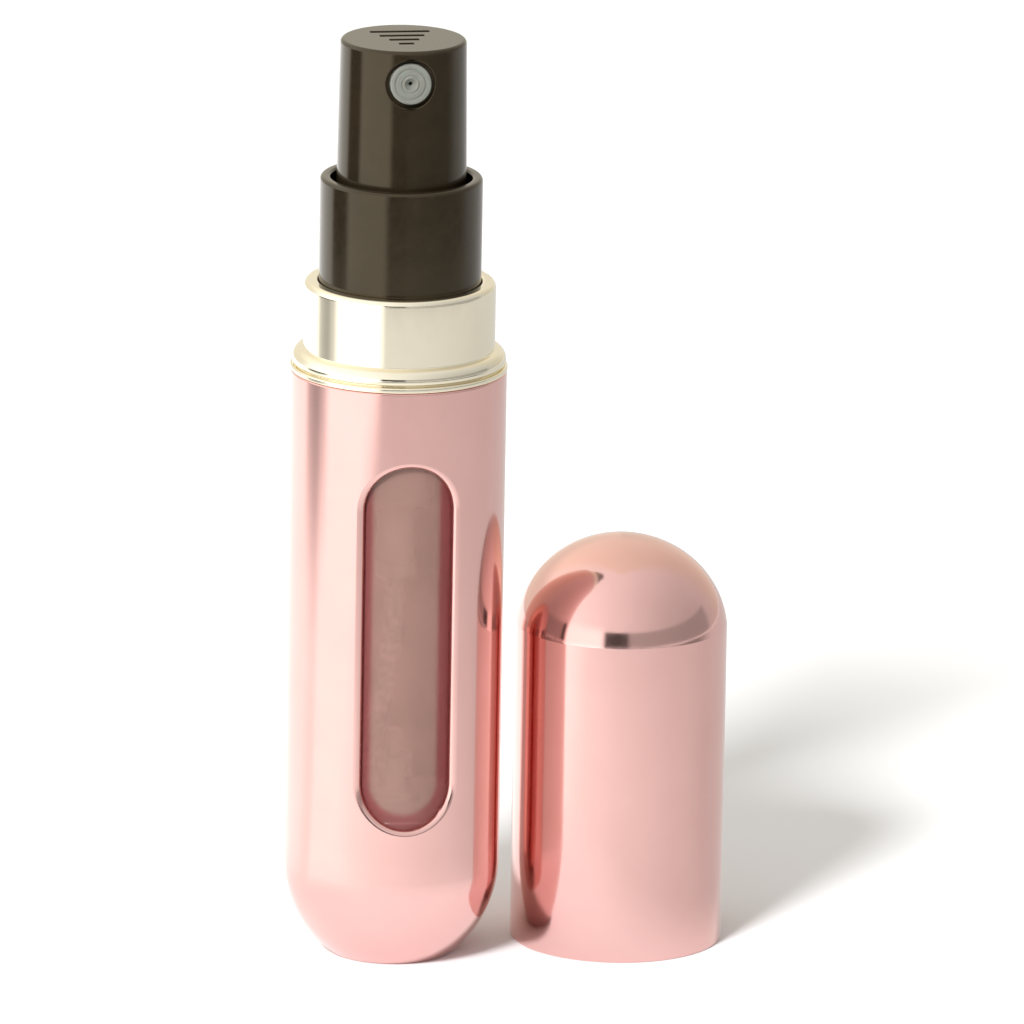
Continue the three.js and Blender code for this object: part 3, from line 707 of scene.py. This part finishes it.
def guard_sleeve():
    foot, skirt_r, skirt_bore, step = 46.8, 6.985, 5.6, COLLAR_LIP_UNDERSIDE - SEAT
    bore, web_top, web_foot, ledge = 5.53, 53.61, GLAND_TOP + SEAT, FLANGE_TOP + SEAT
    corners = [
        (5.35, foot), (skirt_r, foot), (skirt_r, step), (GUARD_R, step), (GUARD_R, GUARD_TOP, 0.3),
        (bore, GUARD_TOP, 0.25), (bore, web_top), (1.6, web_top), (1.6, web_foot), (3.35, web_foot),
        (3.35, ledge), (skirt_bore, ledge), (skirt_bore, 48.38, 0.15), (5.35, 48.2),
    ]
    turned_piece("guard", corners, "guard_sleeve", BLACK)


def pump():
    barrel_r, barrel_bore, tail_r, tail_bore, inlet_bore = 2.9, 2.2, 1.45, 0.95, 0.4
    flange_foot, cone, tube_stop, barrel_floor = 51.24, 36.49, 33.79, 37.99
    corners = [
        (0.9, PUMP_INLET), (1.6, PUMP_INLET, 0.25), (1.6, 31.69, 0.3), (tail_r, 31.8), (tail_r, cone, 0.2),
        (2.3, cone, 0.2), (barrel_r, 37.09, 0.2), (barrel_r, flange_foot), (FLANGE_R, flange_foot),
        (FLANGE_R, FLANGE_TOP), (barrel_bore, FLANGE_TOP), (barrel_bore, barrel_floor),
        (tail_bore, barrel_floor), (tail_bore, 36.69), (inlet_bore, 36.09), (inlet_bore, tube_stop),
        (0.9, tube_stop),
    ]
    turned_piece("pump_housing_body", corners, "pump_housing", WHITE)
    bore, low, high = 2.95, NECK_TOP + SEAT, flange_foot - SEAT
    corners = [(bore, low), (FLANGE_R, low), (FLANGE_R, high), (bore, high)]
    turned_piece("neck_washer", corners, "neck_gasket", RUBBER, edge=0.12)
    bore, low, plug_r, rim_r, rim = 1.25, 50.26, 2.18, 3.3, FLANGE_TOP + SEAT
    corners = [
        (bore, low), (plug_r, low), (plug_r, rim), (rim_r, rim), (rim_r, GLAND_TOP), (bore, GLAND_TOP),
    ]
    turned_piece("stem_gland", corners, "stem_seal", WHITE)


def pump_plunger():
    corners = [
        (STEM_BORE, STEM_FOOT), (STEM_R, STEM_FOOT), (STEM_R, STEM_TOP, 0.12), (STEM_BORE, STEM_TOP),
    ]
    turned_piece("stem", corners, "pump_stem", WHITE, "pump_plunger")
    bore, waist_r, low, high = STEM_R + SEAT, 1.85, 48.31, 50.21
    corners = [
        (bore, low), (PISTON_R, low, 0.1), (PISTON_R, 48.7, 0.1), (waist_r, 48.95), (waist_r, 49.57),
        (PISTON_R, 49.82, 0.1), (PISTON_R, high, 0.1), (bore, high),
    ]
    turned_piece("piston", corners, "pump_piston", WHITE, "pump_plunger")
    guide_foot, head_r, head_foot, head_top = 45.79, 1.95, 46.99, STEM_FOOT - SEAT
    plug_r, plug_top = STEM_BORE - SEAT, 49.89
    corners = [
        (0, guide_foot), (1.05, guide_foot), (1.15, head_foot), (head_r, head_foot), (head_r, head_top),
        (plug_r, head_top), (plug_r, plug_top), (0, plug_top),
    ]
    turned_piece("pin", corners, "pump_pin", WHITE, "pump_plunger")


def check_ball():
    radius, low, high = span("check_ball")
    corners = arc(0, (low + high) / 2, radius, radius, -90, 90, 32)
    corners[0] = (0, low)
    corners[-1] = (0, high)
    turned_piece("ball", corners, "check_ball", STEEL, "inlet_ball")


def coil(name, radius, wire, low, high, turns, node):
    """A compression spring with a closed turn at each end."""
    steps = 40
    half = wire / 2
    close = wire * 1.3
    bottom = low + half
    open_pitch = (high - half - bottom - 2 * close) / (turns - 2)
    path = []
    for i in range(turns * steps + 1):
        turn = i / steps
        open_turns = min(max(turn - 1, 0), turns - 2)
        z = bottom + open_turns * open_pitch + (turn - open_turns) * close
        angle = 2 * math.pi * turn
        path.append(Vector((radius * math.cos(angle), radius * math.sin(angle), z)))
    return swept(path, half, 0.0, 14).build(name, node, STEEL)


def springs():
    """The pump's spring and the filler's spring, each with a mesh of its own."""
    low, high, travel = 38.01, 46.97, 4.0
    main = coil("pump_coil", 1.5, 0.35, low, high, 7, "pump_spring")
    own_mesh(main)
    low, high, travel = 8.02, 15.12, 1.5
    small = coil("filler_coil", 0.8, 0.22, low, high, 6, "filler_spring")
    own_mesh(small)


def dip_tube():
    """A tube that leaves the pump straight and leans away to the bottle's lower corner."""
    radius, bore, sides = 0.8, 0.5, 32
    lean, curve, steps = 5.1, 1.75, 48
    lean_angle = math.radians(110)
    top, end = 33.77, 13.22
    path = [Vector((0, 0, top)), Vector((0, 0, (top + PUMP_INLET) / 2))]
    for i in range(steps + 1):
        share = i / steps
        away = lean * share ** curve
        z = PUMP_INLET - (PUMP_INLET - end) * share
        path.append(Vector((away * math.cos(lean_angle), away * math.sin(lean_angle), z)))
    surface = swept(path, radius, bore, sides)
    surface.build("tube", "dip_tube", TUBE, slot="clear_plastic")


# The button's outside tapers a little, and the nozzle sits in a recess near its top.
BUTTON_FOOT_R = 5.16
BUTTON_TOP_R = 4.93
BUTTON_FOOT = 57.91
BUTTON_TOP = 73.9
BUTTON_ROUND = 0.65
NOZZLE_Z = 71.3
NOZZLE_R = 1.62
RECESS_R = 1.92
RECESS_FLOOR_Y = -4.38
POCKET_FLOOR_Y = -2.467
GROOVES = 4
GROOVE_HALF = 0.275
GROOVE_DEPTH = 0.25
GROOVE_REACH = BUTTON_TOP_R - BUTTON_ROUND - 1.0


def button_radius(z):
    share = (z - BUTTON_FOOT) / (BUTTON_TOP - BUTTON_FOOT)
    return BUTTON_FOOT_R + (BUTTON_TOP_R - BUTTON_FOOT_R) * share


def bar_ring(surface, half_length, half_width, y, depth, lean):
    """A round-cornered bar's outline on the button's top, pushed down by a depth.

    lean turns the normal from straight up towards the bar's middle, as a share.
    """
    corner = min(0.12, half_width * 0.6)
    corner_steps = 4
    ring = []
    for quarter, (sx, sy) in enumerate([(1, -1), (1, 1), (-1, 1), (-1, -1)]):
        centre = Vector((sx * (half_length - corner), y + sy * (half_width - corner), BUTTON_TOP - depth))
        for k in range(corner_steps + 1):
            turn = math.pi / 2 * (quarter - 1 + k / corner_steps)
            out = Vector((math.cos(turn), math.sin(turn), 0))
            normal = Vector((0, 0, 1)) * (1 - lean) - out * lean
            ring.append(surface.add(centre + out * corner, normal.normalized()))
    return ring


GROOVE_RINGS = [  # growth, depth and lean from the groove's soft top edge to its floor
    (0.07, 0, 0), (0.02, 0.02, 0.5), (0, 0.07, 1),
    (0, 0.18, 1), (-0.02, 0.23, 0.5), (-0.07, GROOVE_DEPTH, 0),
]


def button_grooves(surface):
    """Four bars that shorten towards the nozzle. Returns the outline of each at the top's surface."""
    corner = GROOVE_REACH * math.sqrt(0.5)
    pitch = (corner + GROOVE_REACH) / GROOVES
    outlines = []
    for i in range(GROOVES):
        half_length = corner * (1 - i / GROOVES)
        y = corner - i * pitch
        rings = [
            bar_ring(surface, half_length + grow, GROOVE_HALF + grow, y, depth, lean)
            for grow, depth, lean in GROOVE_RINGS
        ]
        for first, second in zip(rings, rings[1:]):
            surface.bridge(first, second)
        surface.face(rings[-1])
        outlines.append(rings[0])
    return outlines


def lies_inside(point, loop):
    """Whether a flat point lies inside a closed loop."""
    crossings = False
    for here, after in zip(loop, loop[1:] + loop[:1]):
        if (here.y > point.y) != (after.y > point.y):
            x = here.x + (after.x - here.x) * (point.y - here.y) / (after.y - here.y)
            crossings ^= point.x < x
    return crossings


def cover(surface, rim, holes):
    """Flat faces between a rim and the outlines of its holes."""
    loops = [rim] + holes
    border = []
    edges = []
    for loop in loops:
        start = len(border)
        border += loop
        edges += [(start + i, start + (i + 1) % len(loop)) for i in range(len(loop))]
    flat = [surface.points[i].xy for i in border]
    faces = delaunay_2d_cdt(flat, edges, [], 0, 1e-5)[2]
    rim_line, *hole_lines = [[surface.points[i].xy for i in loop] for loop in loops]
    for face in faces:
        middle = sum((flat[i] for i in face), Vector((0, 0))) / len(face)
        if lies_inside(middle, rim_line) and not any(lies_inside(middle, line) for line in hole_lines):
            surface.face([border[i] for i in face])


def nozzle_pocket(surface, opening, ring):
    """The recess round the nozzle and the pocket behind it, finishing the button's blind hole."""
    pocket_r = NOZZLE_R + SEAT
    post_r, post_floor = 0.9, POCKET_FLOOR_Y - 1.4
    profile = rounded([
        (0.001, post_floor), (post_r, post_floor, 0.1), (post_r, POCKET_FLOOR_Y),
        (pocket_r, POCKET_FLOOR_Y), (pocket_r, RECESS_FLOOR_Y, 0.06),
        (RECESS_R, RECESS_FLOOR_Y, 0.08), (RECESS_R, -4.4),
    ])[::-1]
    for i, here in enumerate(profile):
        along = (profile[min(i + 1, len(profile) - 1)] - profile[max(i - 1, 0)]).normalized()
        following = []
        for _, centre, (mx, mz) in opening.loop():
            point = (here.x * mx, here.y, centre + here.x * mz)
            following.append(surface.add(point, (-along.y * mx, along.x, -along.y * mz)))
        surface.bridge(ring, following)
        ring = following
    surface.face(ring)


def spray_button():
    recess = Opening(
        RECESS_R, NOZZLE_Z - RECESS_R, NOZZLE_Z + RECESS_R,
        side_margin=0.7, end_margin=0.02, columns=28, corner_rows=10, side_rows=0,
    )
    cavity_top, cavity_r, wall = 69.0, 2.2, 0.9
    channel_r, channel_top = 0.6, 71.9
    socket_r, socket_top, boss_foot = STEM_R + SEAT, STEM_TOP + SEAT, 58.01
    corners = [
        (0, channel_top), (channel_r, channel_top), (channel_r, socket_top), (socket_r, socket_top),
        (socket_r, boss_foot), (cavity_r, boss_foot),
        (cavity_r, cavity_top), (button_radius(cavity_top) - wall, cavity_top),
        (BUTTON_FOOT_R - wall, BUTTON_FOOT), (BUTTON_FOOT_R, BUTTON_FOOT, 0.1),
        *[(button_radius(z), z, 0) for z in recess.levels],
        (BUTTON_TOP_R, BUTTON_TOP, BUTTON_ROUND),
        (BUTTON_TOP_R - 1.2 * BUTTON_ROUND, BUTTON_TOP, 0),
    ]
    outline = rounded(corners, 0.06, 10)
    outline[-1] = Vector((BUTTON_TOP_R - 1.05 * BUTTON_ROUND, BUTTON_TOP))
    lowest = Vector((button_radius(recess.levels[0]), recess.levels[0]))
    first = min(range(len(outline)), key=lambda i: (outline[i] - lowest).length)
    edge = [(0.1, 0.0, 0), (0.06, 0.01, 25), (0.02, 0.04, 60), (0.0, 0.1, 90)]
    surface, last = wall_with_opening(
        outline, recess, (first, first + len(recess.levels) - 1), None,
        recess.angles(BUTTON_TOP_R, 100), edge, button_radius, 0.0,
    )
    nozzle_pocket(surface, recess, last)
    top = surface.rings[-1]
    for i in top:
        surface.normals[i] = Vector((0, 0, 1))
    cover(surface, top, button_grooves(surface))
    surface.build("button", "spray_button", BLACK, "button")


def spray_nozzle():
    """The nozzle is turned upright, with its swirl rings and hole, and then laid to face the front."""
    low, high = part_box("spray_nozzle")
    length = (high.y - low.y) / MM
    back = high.y / MM - BOTTLE.y / MM
    core_r, core_floor = 0.95, length - 0.7
    ring_floor, inner_floor = length - 0.07, length - 0.05
    corners = [
        (core_r, 0), (NOZZLE_R, 0), (NOZZLE_R, length, 0.12),
        (1.3, length, 0.04), (1.24, ring_floor, 0.03), (1.14, ring_floor, 0.03), (1.08, length, 0.04),
        (0.78, length, 0.03), (0.73, inner_floor, 0.03), (0.66, inner_floor, 0.03), (0.61, length, 0.03),
        (0.5, length, 0.04), (0.15, length - 0.35, 0.03), (0.15, core_floor), (core_r, core_floor),
    ]
    surface = turned(rounded(corners))
    surface.points = [Vector((p.x, back - p.z, p.y + NOZZLE_Z)) for p in surface.points]
    surface.normals = [Vector((n.x, -n.z, n.y)) for n in surface.normals]
    surface.build("nozzle", "spray_nozzle", GREY, "button")


def filler():
    foot, tip_r, inside_r, plug_r, flange_r = 0.35, 3.0, 5.88, 7.45, 4.4
    washer_foot, bore, washer_bore, well = 5.5, 1.8, 0.8, 11.32
    corners = [
        (bore, foot, 0.15), (tip_r, foot, 0.15), (tip_r, 0.62), (flange_r, 0.62), (flange_r, 1.62),
        (tip_r, 1.62), (tip_r, well), (inside_r, well), (inside_r, 5.6), (plug_r, 5.6), (plug_r, 7.05),
        (INSERT_R, 7.05), (INSERT_R, INSERT_TOP, 0.25), (SPRING_CUP_R, INSERT_TOP),
        (SPRING_CUP_R, SPRING_CUP_TOP), (1.75, SPRING_CUP_TOP), (1.75, VALVE_SEAT),
        (washer_bore, VALVE_SEAT), (washer_bore, washer_foot), (bore, washer_foot),
    ]
    turned_piece("filler_insert", corners, "filler_body", WHITE)
    low, high = 4.68, washer_foot - SEAT
    corners = [(0.75, low), (bore - SEAT, low), (bore - SEAT, high), (0.75, high)]
    turned_piece("port_washer", corners, "filler_gasket", RUBBER, edge=0.1)
    radius, low, high = span("filler_seal")
    wire = (high - low) / 2
    ring = arc(radius - wire, (low + high) / 2, wire, wire, -90, 262.5, 47)
    turned_piece("valve_ring", ring, "filler_seal", RUBBER, "filler_valve")
    foot, pin_r, disc_foot, disc_top, disc_r, guide_r, top = 3.08, 0.5, 7.2, 8.0, 1.3, 0.55, 18.04
    corners = [
        (0, foot), (pin_r, foot, 0.15), (pin_r, 6.28), (0.68, VALVE_SEAT), (0.68, disc_foot),
        (disc_r, disc_foot), (disc_r, disc_top), (guide_r, disc_top), (guide_r, top, 0.2), (0, top),
    ]
    turned_piece("poppet", corners, "filler_poppet", WHITE, "filler_valve")


def filler_cage():
    """The cage's neck has four slots, so its columns are set to meet their sides."""
    posts, slot_columns, post_columns = 4, 4, 12
    neck, pocket, skirt_r, top_bore = 1.5, 1.05, 1.73, 0.6
    foot, low, high, top = 10.22, 13.29, 15.09, 15.94
    chamfer = 0.1
    half_slot = math.asin(0.35 / neck)
    between_slots = 2 * math.pi / posts - 2 * half_slot
    angles = []
    for k in range(posts):
        start = math.pi / posts + 2 * math.pi * k / posts - half_slot
        angles += [start + 2 * half_slot * i / slot_columns for i in range(slot_columns)]
        angles += [start + 2 * half_slot + between_slots * i / post_columns for i in range(post_columns)]
    seat = SPRING_CUP_TOP + SEAT
    outline = rounded([
        (pocket, foot), (skirt_r, foot, 0.15), (skirt_r, seat), (2.2, seat, 0.1), (2.2, low, 0.1),
        (neck + chamfer, low, 0), (neck, low + chamfer, 0), (neck, high, 0), (neck, top, 0.15),
        (top_bore, top), (top_bore, high), (pocket, high, 0), (pocket, low + chamfer, 0),
    ])

    def slot_rows(radius):
        rows = rows_at(outline, radius, low + chamfer / 2)
        return [i for i in rows if outline[i].y <= high + TINY]

    outer, inner = slot_rows(neck), slot_rows(pocket)
    pitch = slot_columns + post_columns
    surface = turned(
        outline, angles, lambda row, column: row in (outer[0], inner[0]) and column % pitch < slot_columns,
    )
    low_out, high_out = (surface.rings[i] for i in outer)
    high_in, low_in = (surface.rings[i] for i in inner)
    for left in range(0, len(angles), pitch):
        right = left + slot_columns
        surface.face((low_out[left], high_out[left], high_in[left], low_in[left]), True)
        surface.face((low_out[right], low_in[right], high_in[right], high_out[right]), True)
        for j in range(left, right):
            surface.face((low_out[j], low_in[j], low_in[j + 1], low_out[j + 1]), True)
            surface.face((high_out[j], high_out[j + 1], high_in[j + 1], high_in[j]), True)
    surface.build("cage", "filler_cage", WHITE)


CAP_R, _, CAP_TOP = span("cap_shell")
CAP_WALL = 0.35
CAP_STRAIGHT = 25.75
CREASE = math.radians(6)  # the dome meets the straight side at a faint crease


def dome(radius, start, steps):
    """The dome's outline from the crease up to the axis."""
    rise = CAP_TOP - CAP_STRAIGHT - (CAP_R - radius)
    half_height = rise / (1 - math.sin(CREASE))
    half_width = radius / math.cos(CREASE)
    centre = CAP_STRAIGHT - half_height * math.sin(CREASE)
    return arc(0, centre, half_width, half_height, math.degrees(CREASE), 90, steps)


def cap():
    bore = CAP_R - CAP_WALL
    outer = dome(CAP_R, CAP_STRAIGHT, 56)
    inner = dome(bore, CAP_STRAIGHT, 40)
    outer[0] = (*outer[0][:2], 0.03)
    outer[-1] = (0, CAP_TOP)
    inner[-1] = (0, CAP_TOP - CAP_WALL)
    corners = [
        *reversed(inner),
        (bore, 0, 0.1),
        (CAP_R, 0, 0.12),
        *[(CAP_R, CAP_STRAIGHT * k / 6, 0) for k in range(1, 6)],
        *outer,
    ]
    turned(rounded(corners, 0.05)).build("cap", "cap_shell", PINK, body="cap", foot=CAP)


def cap_liner():
    bore, outside, foot, top = 7.6, 8.0, 0.4, 13.4
    corners = [(bore, foot, 0.15), (outside, foot, 0.15), (outside, top), (bore, top)]
    surface = turned(rounded(corners, 0.08))
    ribs, rib_low, rib_high, half_angle, chamfer = 6, 1.4, 7.4, 0.6 / bore, 0.04
    rib_middle = (rib_low + rib_high) / 2
    for k in range(ribs):
        angle = math.pi / 2 + 2 * math.pi * k / ribs
        rings = []
        for radius, inset in ((bore + 0.02, 0), (bore - 0.045, chamfer)):
            ring = []
            for side, z in ((-1, rib_low), (1, rib_low), (1, rib_high), (-1, rib_high)):
                turn = angle + side * (half_angle - inset / bore)
                height = z + math.copysign(inset, rib_middle - z)
                ring.append(surface.add(spin(radius, height, turn), spin(-1, 0, angle + side * half_angle)))
            rings.append(ring)
        back, front = rings
        surface.face(front[::-1])
        surface.face(back, True)
        surface.bridge(front, back, flat=True)
    surface.build("liner", "cap_liner", WHITE, body="cap", foot=CAP)


outer_shell()
inner_bottle()
collar()
guard_sleeve()
pump()
pump_plunger()
check_ball()
springs()
dip_tube()
spray_button()
spray_nozzle()
filler()
filler_cage()
cap()
cap_liner()

# ---- stage


ROOM_WHITE = (1.0, 0.985, 0.955, 1)  # the light that the shiny sides reflect
TABLE_GAP = 0.00003  # metres between the floor and the sheet that only reflections see


def stage_object(name, mesh, material, only_reflected=False):
    mesh.materials.append(material)
    thing = new_object(name, mesh)
    thing.visible_camera = not only_reflected
    thing.visible_diffuse = not only_reflected
    thing.visible_shadow = not only_reflected


def toward(azimuth, distance, z):
    """A point round the bottle. Azimuth is in degrees from the camera's side, positive to the right."""
    turn = CAMERA_AZIMUTH + math.radians(azimuth)
    return BOTTLE + Vector((math.sin(turn) * distance, -math.cos(turn) * distance, z))


def floor():
    material, shader = new_material("floor", Roughness=0.9, Specular_IOR_Level=0.0)
    pale = tint(material, noise(material, 0.004), (0.80, 0.805, 0.82), (0.82, 0.825, 0.84))
    link(material, pale, shader.inputs["Base Color"])
    reach = 1.2
    corners = [(-reach, -reach, 0), (reach, -reach, 0), (reach, reach, 0), (-reach, reach, 0)]
    mesh = bpy.data.meshes.new("floor")
    mesh.from_pydata(corners, [], [(0, 1, 2, 3)])
    stage_object("floor", mesh, material)


def smooth_step(value, start, end):
    """0 at the start, 1 at the end, and eased between them."""
    share = min(max((value - start) / (end - start), 0), 1)
    return share * share * (3 - 2 * share)


def between(value, low, high, edge):
    """1 between two limits and 0 outside them, with soft edges."""
    return smooth_step(value, low - edge, low + edge) * (1 - smooth_step(value, high - edge, high + edge))


WINDOW_LEVEL = 1.65  # brightness of the window on the left, and of the table under it
CARD_LEVEL = 0.1  # and of the small dark patch in front


def mixed(level, goal, share):
    return level + (goal - level) * share


def table_glow(azimuth, distance):
    """How bright the table looks in the bottle's sides, by direction and distance round the bottle."""
    reach = smooth_step(distance, 0.05, 0.16)
    narrowing = smooth_step(distance, 0.16, 0.2)
    past_the_table = smooth_step(distance, 0.224, 0.232)
    near = 1.25 - 0.005 * azimuth
    far = 0.88 - 0.0014 * azimuth
    level = min(mixed(near, far, reach), 1.4)
    level = mixed(level, 0.25, past_the_table)
    level = mixed(level, CARD_LEVEL, between(azimuth, -16, 9, 4) * past_the_table)
    level = mixed(level, 0.72, smooth_step(azimuth, 85, 115))
    level = mixed(level, 1.55, between(azimuth, -180, -104, 8))
    window_end = -42 + 14 * reach + 9 * narrowing
    fade = 18 - 5 * reach - 8 * narrowing
    window = 1 - smooth_step(azimuth, window_end - fade, window_end + fade)
    level = mixed(level, WINDOW_LEVEL, smooth_step(azimuth, -94, -84) * window)
    strip = 0.52 * smooth_step(distance, 0.11, 0.2) + 0.48 * smooth_step(distance, 0.222, 0.234)
    return mixed(level, 0.05, between(azimuth, -111, -80, 5) * strip)


def table_glow_material():
    """Shines with the mesh's own level, and is clear where its weight is low."""
    material, shader = new_material("reflected_table")
    material.node_tree.nodes.remove(shader)
    level = add_node(material, "ShaderNodeAttribute", attribute_name="level").outputs["Fac"]
    weight = add_node(material, "ShaderNodeAttribute", attribute_name="weight").outputs["Fac"]
    emission = add_node(material, "ShaderNodeEmission", Color=ROOM_WHITE, Strength=level)
    mix_shaders(material, weight, add_node(material, "ShaderNodeBsdfTransparent"), emission)
    return material


def reflected_table():
    """The table as the shiny sides reflect it: brighter by the window on the left, and dim far in front."""
    rows, columns = 40, 120
    near, far = 0.016, 0.6
    points, levels, weights, faces = [], [], [], []
    for i in range(rows + 1):
        distance = near * (far / near) ** (i / rows)
        for j in range(columns):
            azimuth = -180 + 360 * j / columns
            points.append(tuple(toward(azimuth, distance, TABLE_GAP)))
            levels.append(table_glow(azimuth, distance))
            weights.append(smooth_step(distance, near, 2.5 * near))
    for i in range(rows):
        for j in range(columns):
            first, second = i * columns, (i + 1) * columns
            k = (j + 1) % columns
            faces.append((first + j, first + k, second + k, second + j))
    mesh = bpy.data.meshes.new("reflected_table")
    mesh.from_pydata(points, [], faces)
    for name, values in (("level", levels), ("weight", weights)):
        attribute = mesh.attributes.new(name, "FLOAT", "POINT")
        attribute.data.foreach_set("value", values)
    stage_object("reflected_table", mesh, table_glow_material(), only_reflected=True)


def key_light():
    """A soft disc lamp at the upper left front, which no reflection shows."""
    azimuth, elevation, distance = -27, math.radians(37.5), 1.4
    light = bpy.data.lights.new("key", "AREA")
    light.shape = "DISK"
    light.size = 0.32
    light.energy = 26.4
    thing = new_object("key", light)
    thing.location = toward(azimuth, math.cos(elevation) * distance, math.sin(elevation) * distance)
    aim = BOTTLE + Vector((0.01, 0, 0.02)) - thing.location
    thing.rotation_mode = "QUATERNION"
    thing.rotation_quaternion = aim.to_track_quat("-Z", "Y")
    thing.visible_glossy = False
    thing.visible_camera = False


def step_node(owner, value, start, end):
    """smooth_step, as a node."""
    rises = start < end
    node = add_node(
        owner, "ShaderNodeMapRange", interpolation_type="SMOOTHSTEP", Value=value,
        From_Min=min(start, end), From_Max=max(start, end),
        To_Min=0.0 if rises else 1.0, To_Max=1.0 if rises else 0.0,
    )
    return node.outputs["Result"]


def between_node(owner, value, low, high, edge):
    rise = step_node(owner, value, low - edge, low + edge)
    return math_node(owner, "MULTIPLY", rise, step_node(owner, value, high + edge, high - edge))


def mixed_node(owner, level, goal, *shares):
    """mixed, as nodes. Its share is one socket or the product of two."""
    share = math_node(owner, "MULTIPLY", *shares) if len(shares) > 1 else shares[0]
    way = math_node(owner, "SUBTRACT", goal, level)
    return math_node(owner, "ADD", level, math_node(owner, "MULTIPLY", share, way))


def world():
    """A pale room: a tall bright window at the left front, and dim near the horizon at the right front."""
    room = bpy.data.worlds.new("world")
    bpy.context.scene.world = room
    room.use_nodes = True
    room.node_tree.nodes.clear()
    place = add_node(room, "ShaderNodeTexCoord").outputs["Generated"]
    turn = add_node(room, "ShaderNodeMapping", Vector=place, Rotation=(0, 0, -CAMERA_AZIMUTH))
    parts = add_node(room, "ShaderNodeSeparateXYZ", Vector=turn.outputs["Vector"])
    right, back, up = parts.outputs["X"], parts.outputs["Y"], parts.outputs["Z"]
    azimuth = math_node(room, "ARCTAN2", right, math_node(room, "MULTIPLY", back, -1.0))
    azimuth = math_node(room, "MULTIPLY", azimuth, math.degrees(1))
    elevation = math_node(room, "MULTIPLY", math_node(room, "ARCSINE", up), math.degrees(1))
    # The room is dimmer to the right, and its reflections are a little brighter than its own light.
    level = math_node(room, "ADD", 0.82, math_node(room, "MULTIPLY", right, -0.38))
    rays = add_node(room, "ShaderNodeLightPath")
    shine = math_node(room, "MULTIPLY", 0.27, rays.outputs["Is Glossy Ray"])
    level = math_node(room, "MULTIPLY", level, math_node(room, "ADD", 1.0, shine))
    # The low parts of the room at the back.
    low = step_node(room, elevation, 34, 14)
    level = mixed_node(room, level, 1.0, low, step_node(room, azimuth, -100, -130))
    level = mixed_node(room, level, 0.9, low, step_node(room, azimuth, 150, 175))
    # The dim band near the horizon, its dark patch in front, and the window.
    dim = mixed_node(room, 0.5, 0.4, step_node(room, azimuth, 10, 90))
    band_top = step_node(room, elevation, 18.5, 15.5)
    card_top = step_node(room, elevation, 18, 16)
    window_top = step_node(room, elevation, 26, 12)
    level = mixed_node(room, level, dim, between_node(room, azimuth, -18, 112, 5), band_top)
    level = mixed_node(room, level, CARD_LEVEL, between_node(room, azimuth, -18, 8, 2), card_top)
    level = mixed_node(room, level, WINDOW_LEVEL, between_node(room, azimuth, -86, -20, 4), window_top)
    behind = step_node(room, math_node(room, "ABSOLUTE", azimuth), 110, 145)
    colour = mixed_colour(room, behind, ROOM_WHITE, (0.96, 0.90, 0.76, 1))
    background = add_node(room, "ShaderNodeBackground", Color=colour, Strength=level)
    add_node(room, "ShaderNodeOutputWorld", Surface=background.outputs[0])


floor()
reflected_table()
key_light()
world()

# Light crosses many clear walls and bounces often between the shiny sides.
bpy.context.scene.view_settings.view_transform = "Standard"
bpy.context.scene.cycles.max_bounces = 32
bpy.context.scene.cycles.transmission_bounces = 32
bpy.context.scene.cycles.glossy_bounces = 16
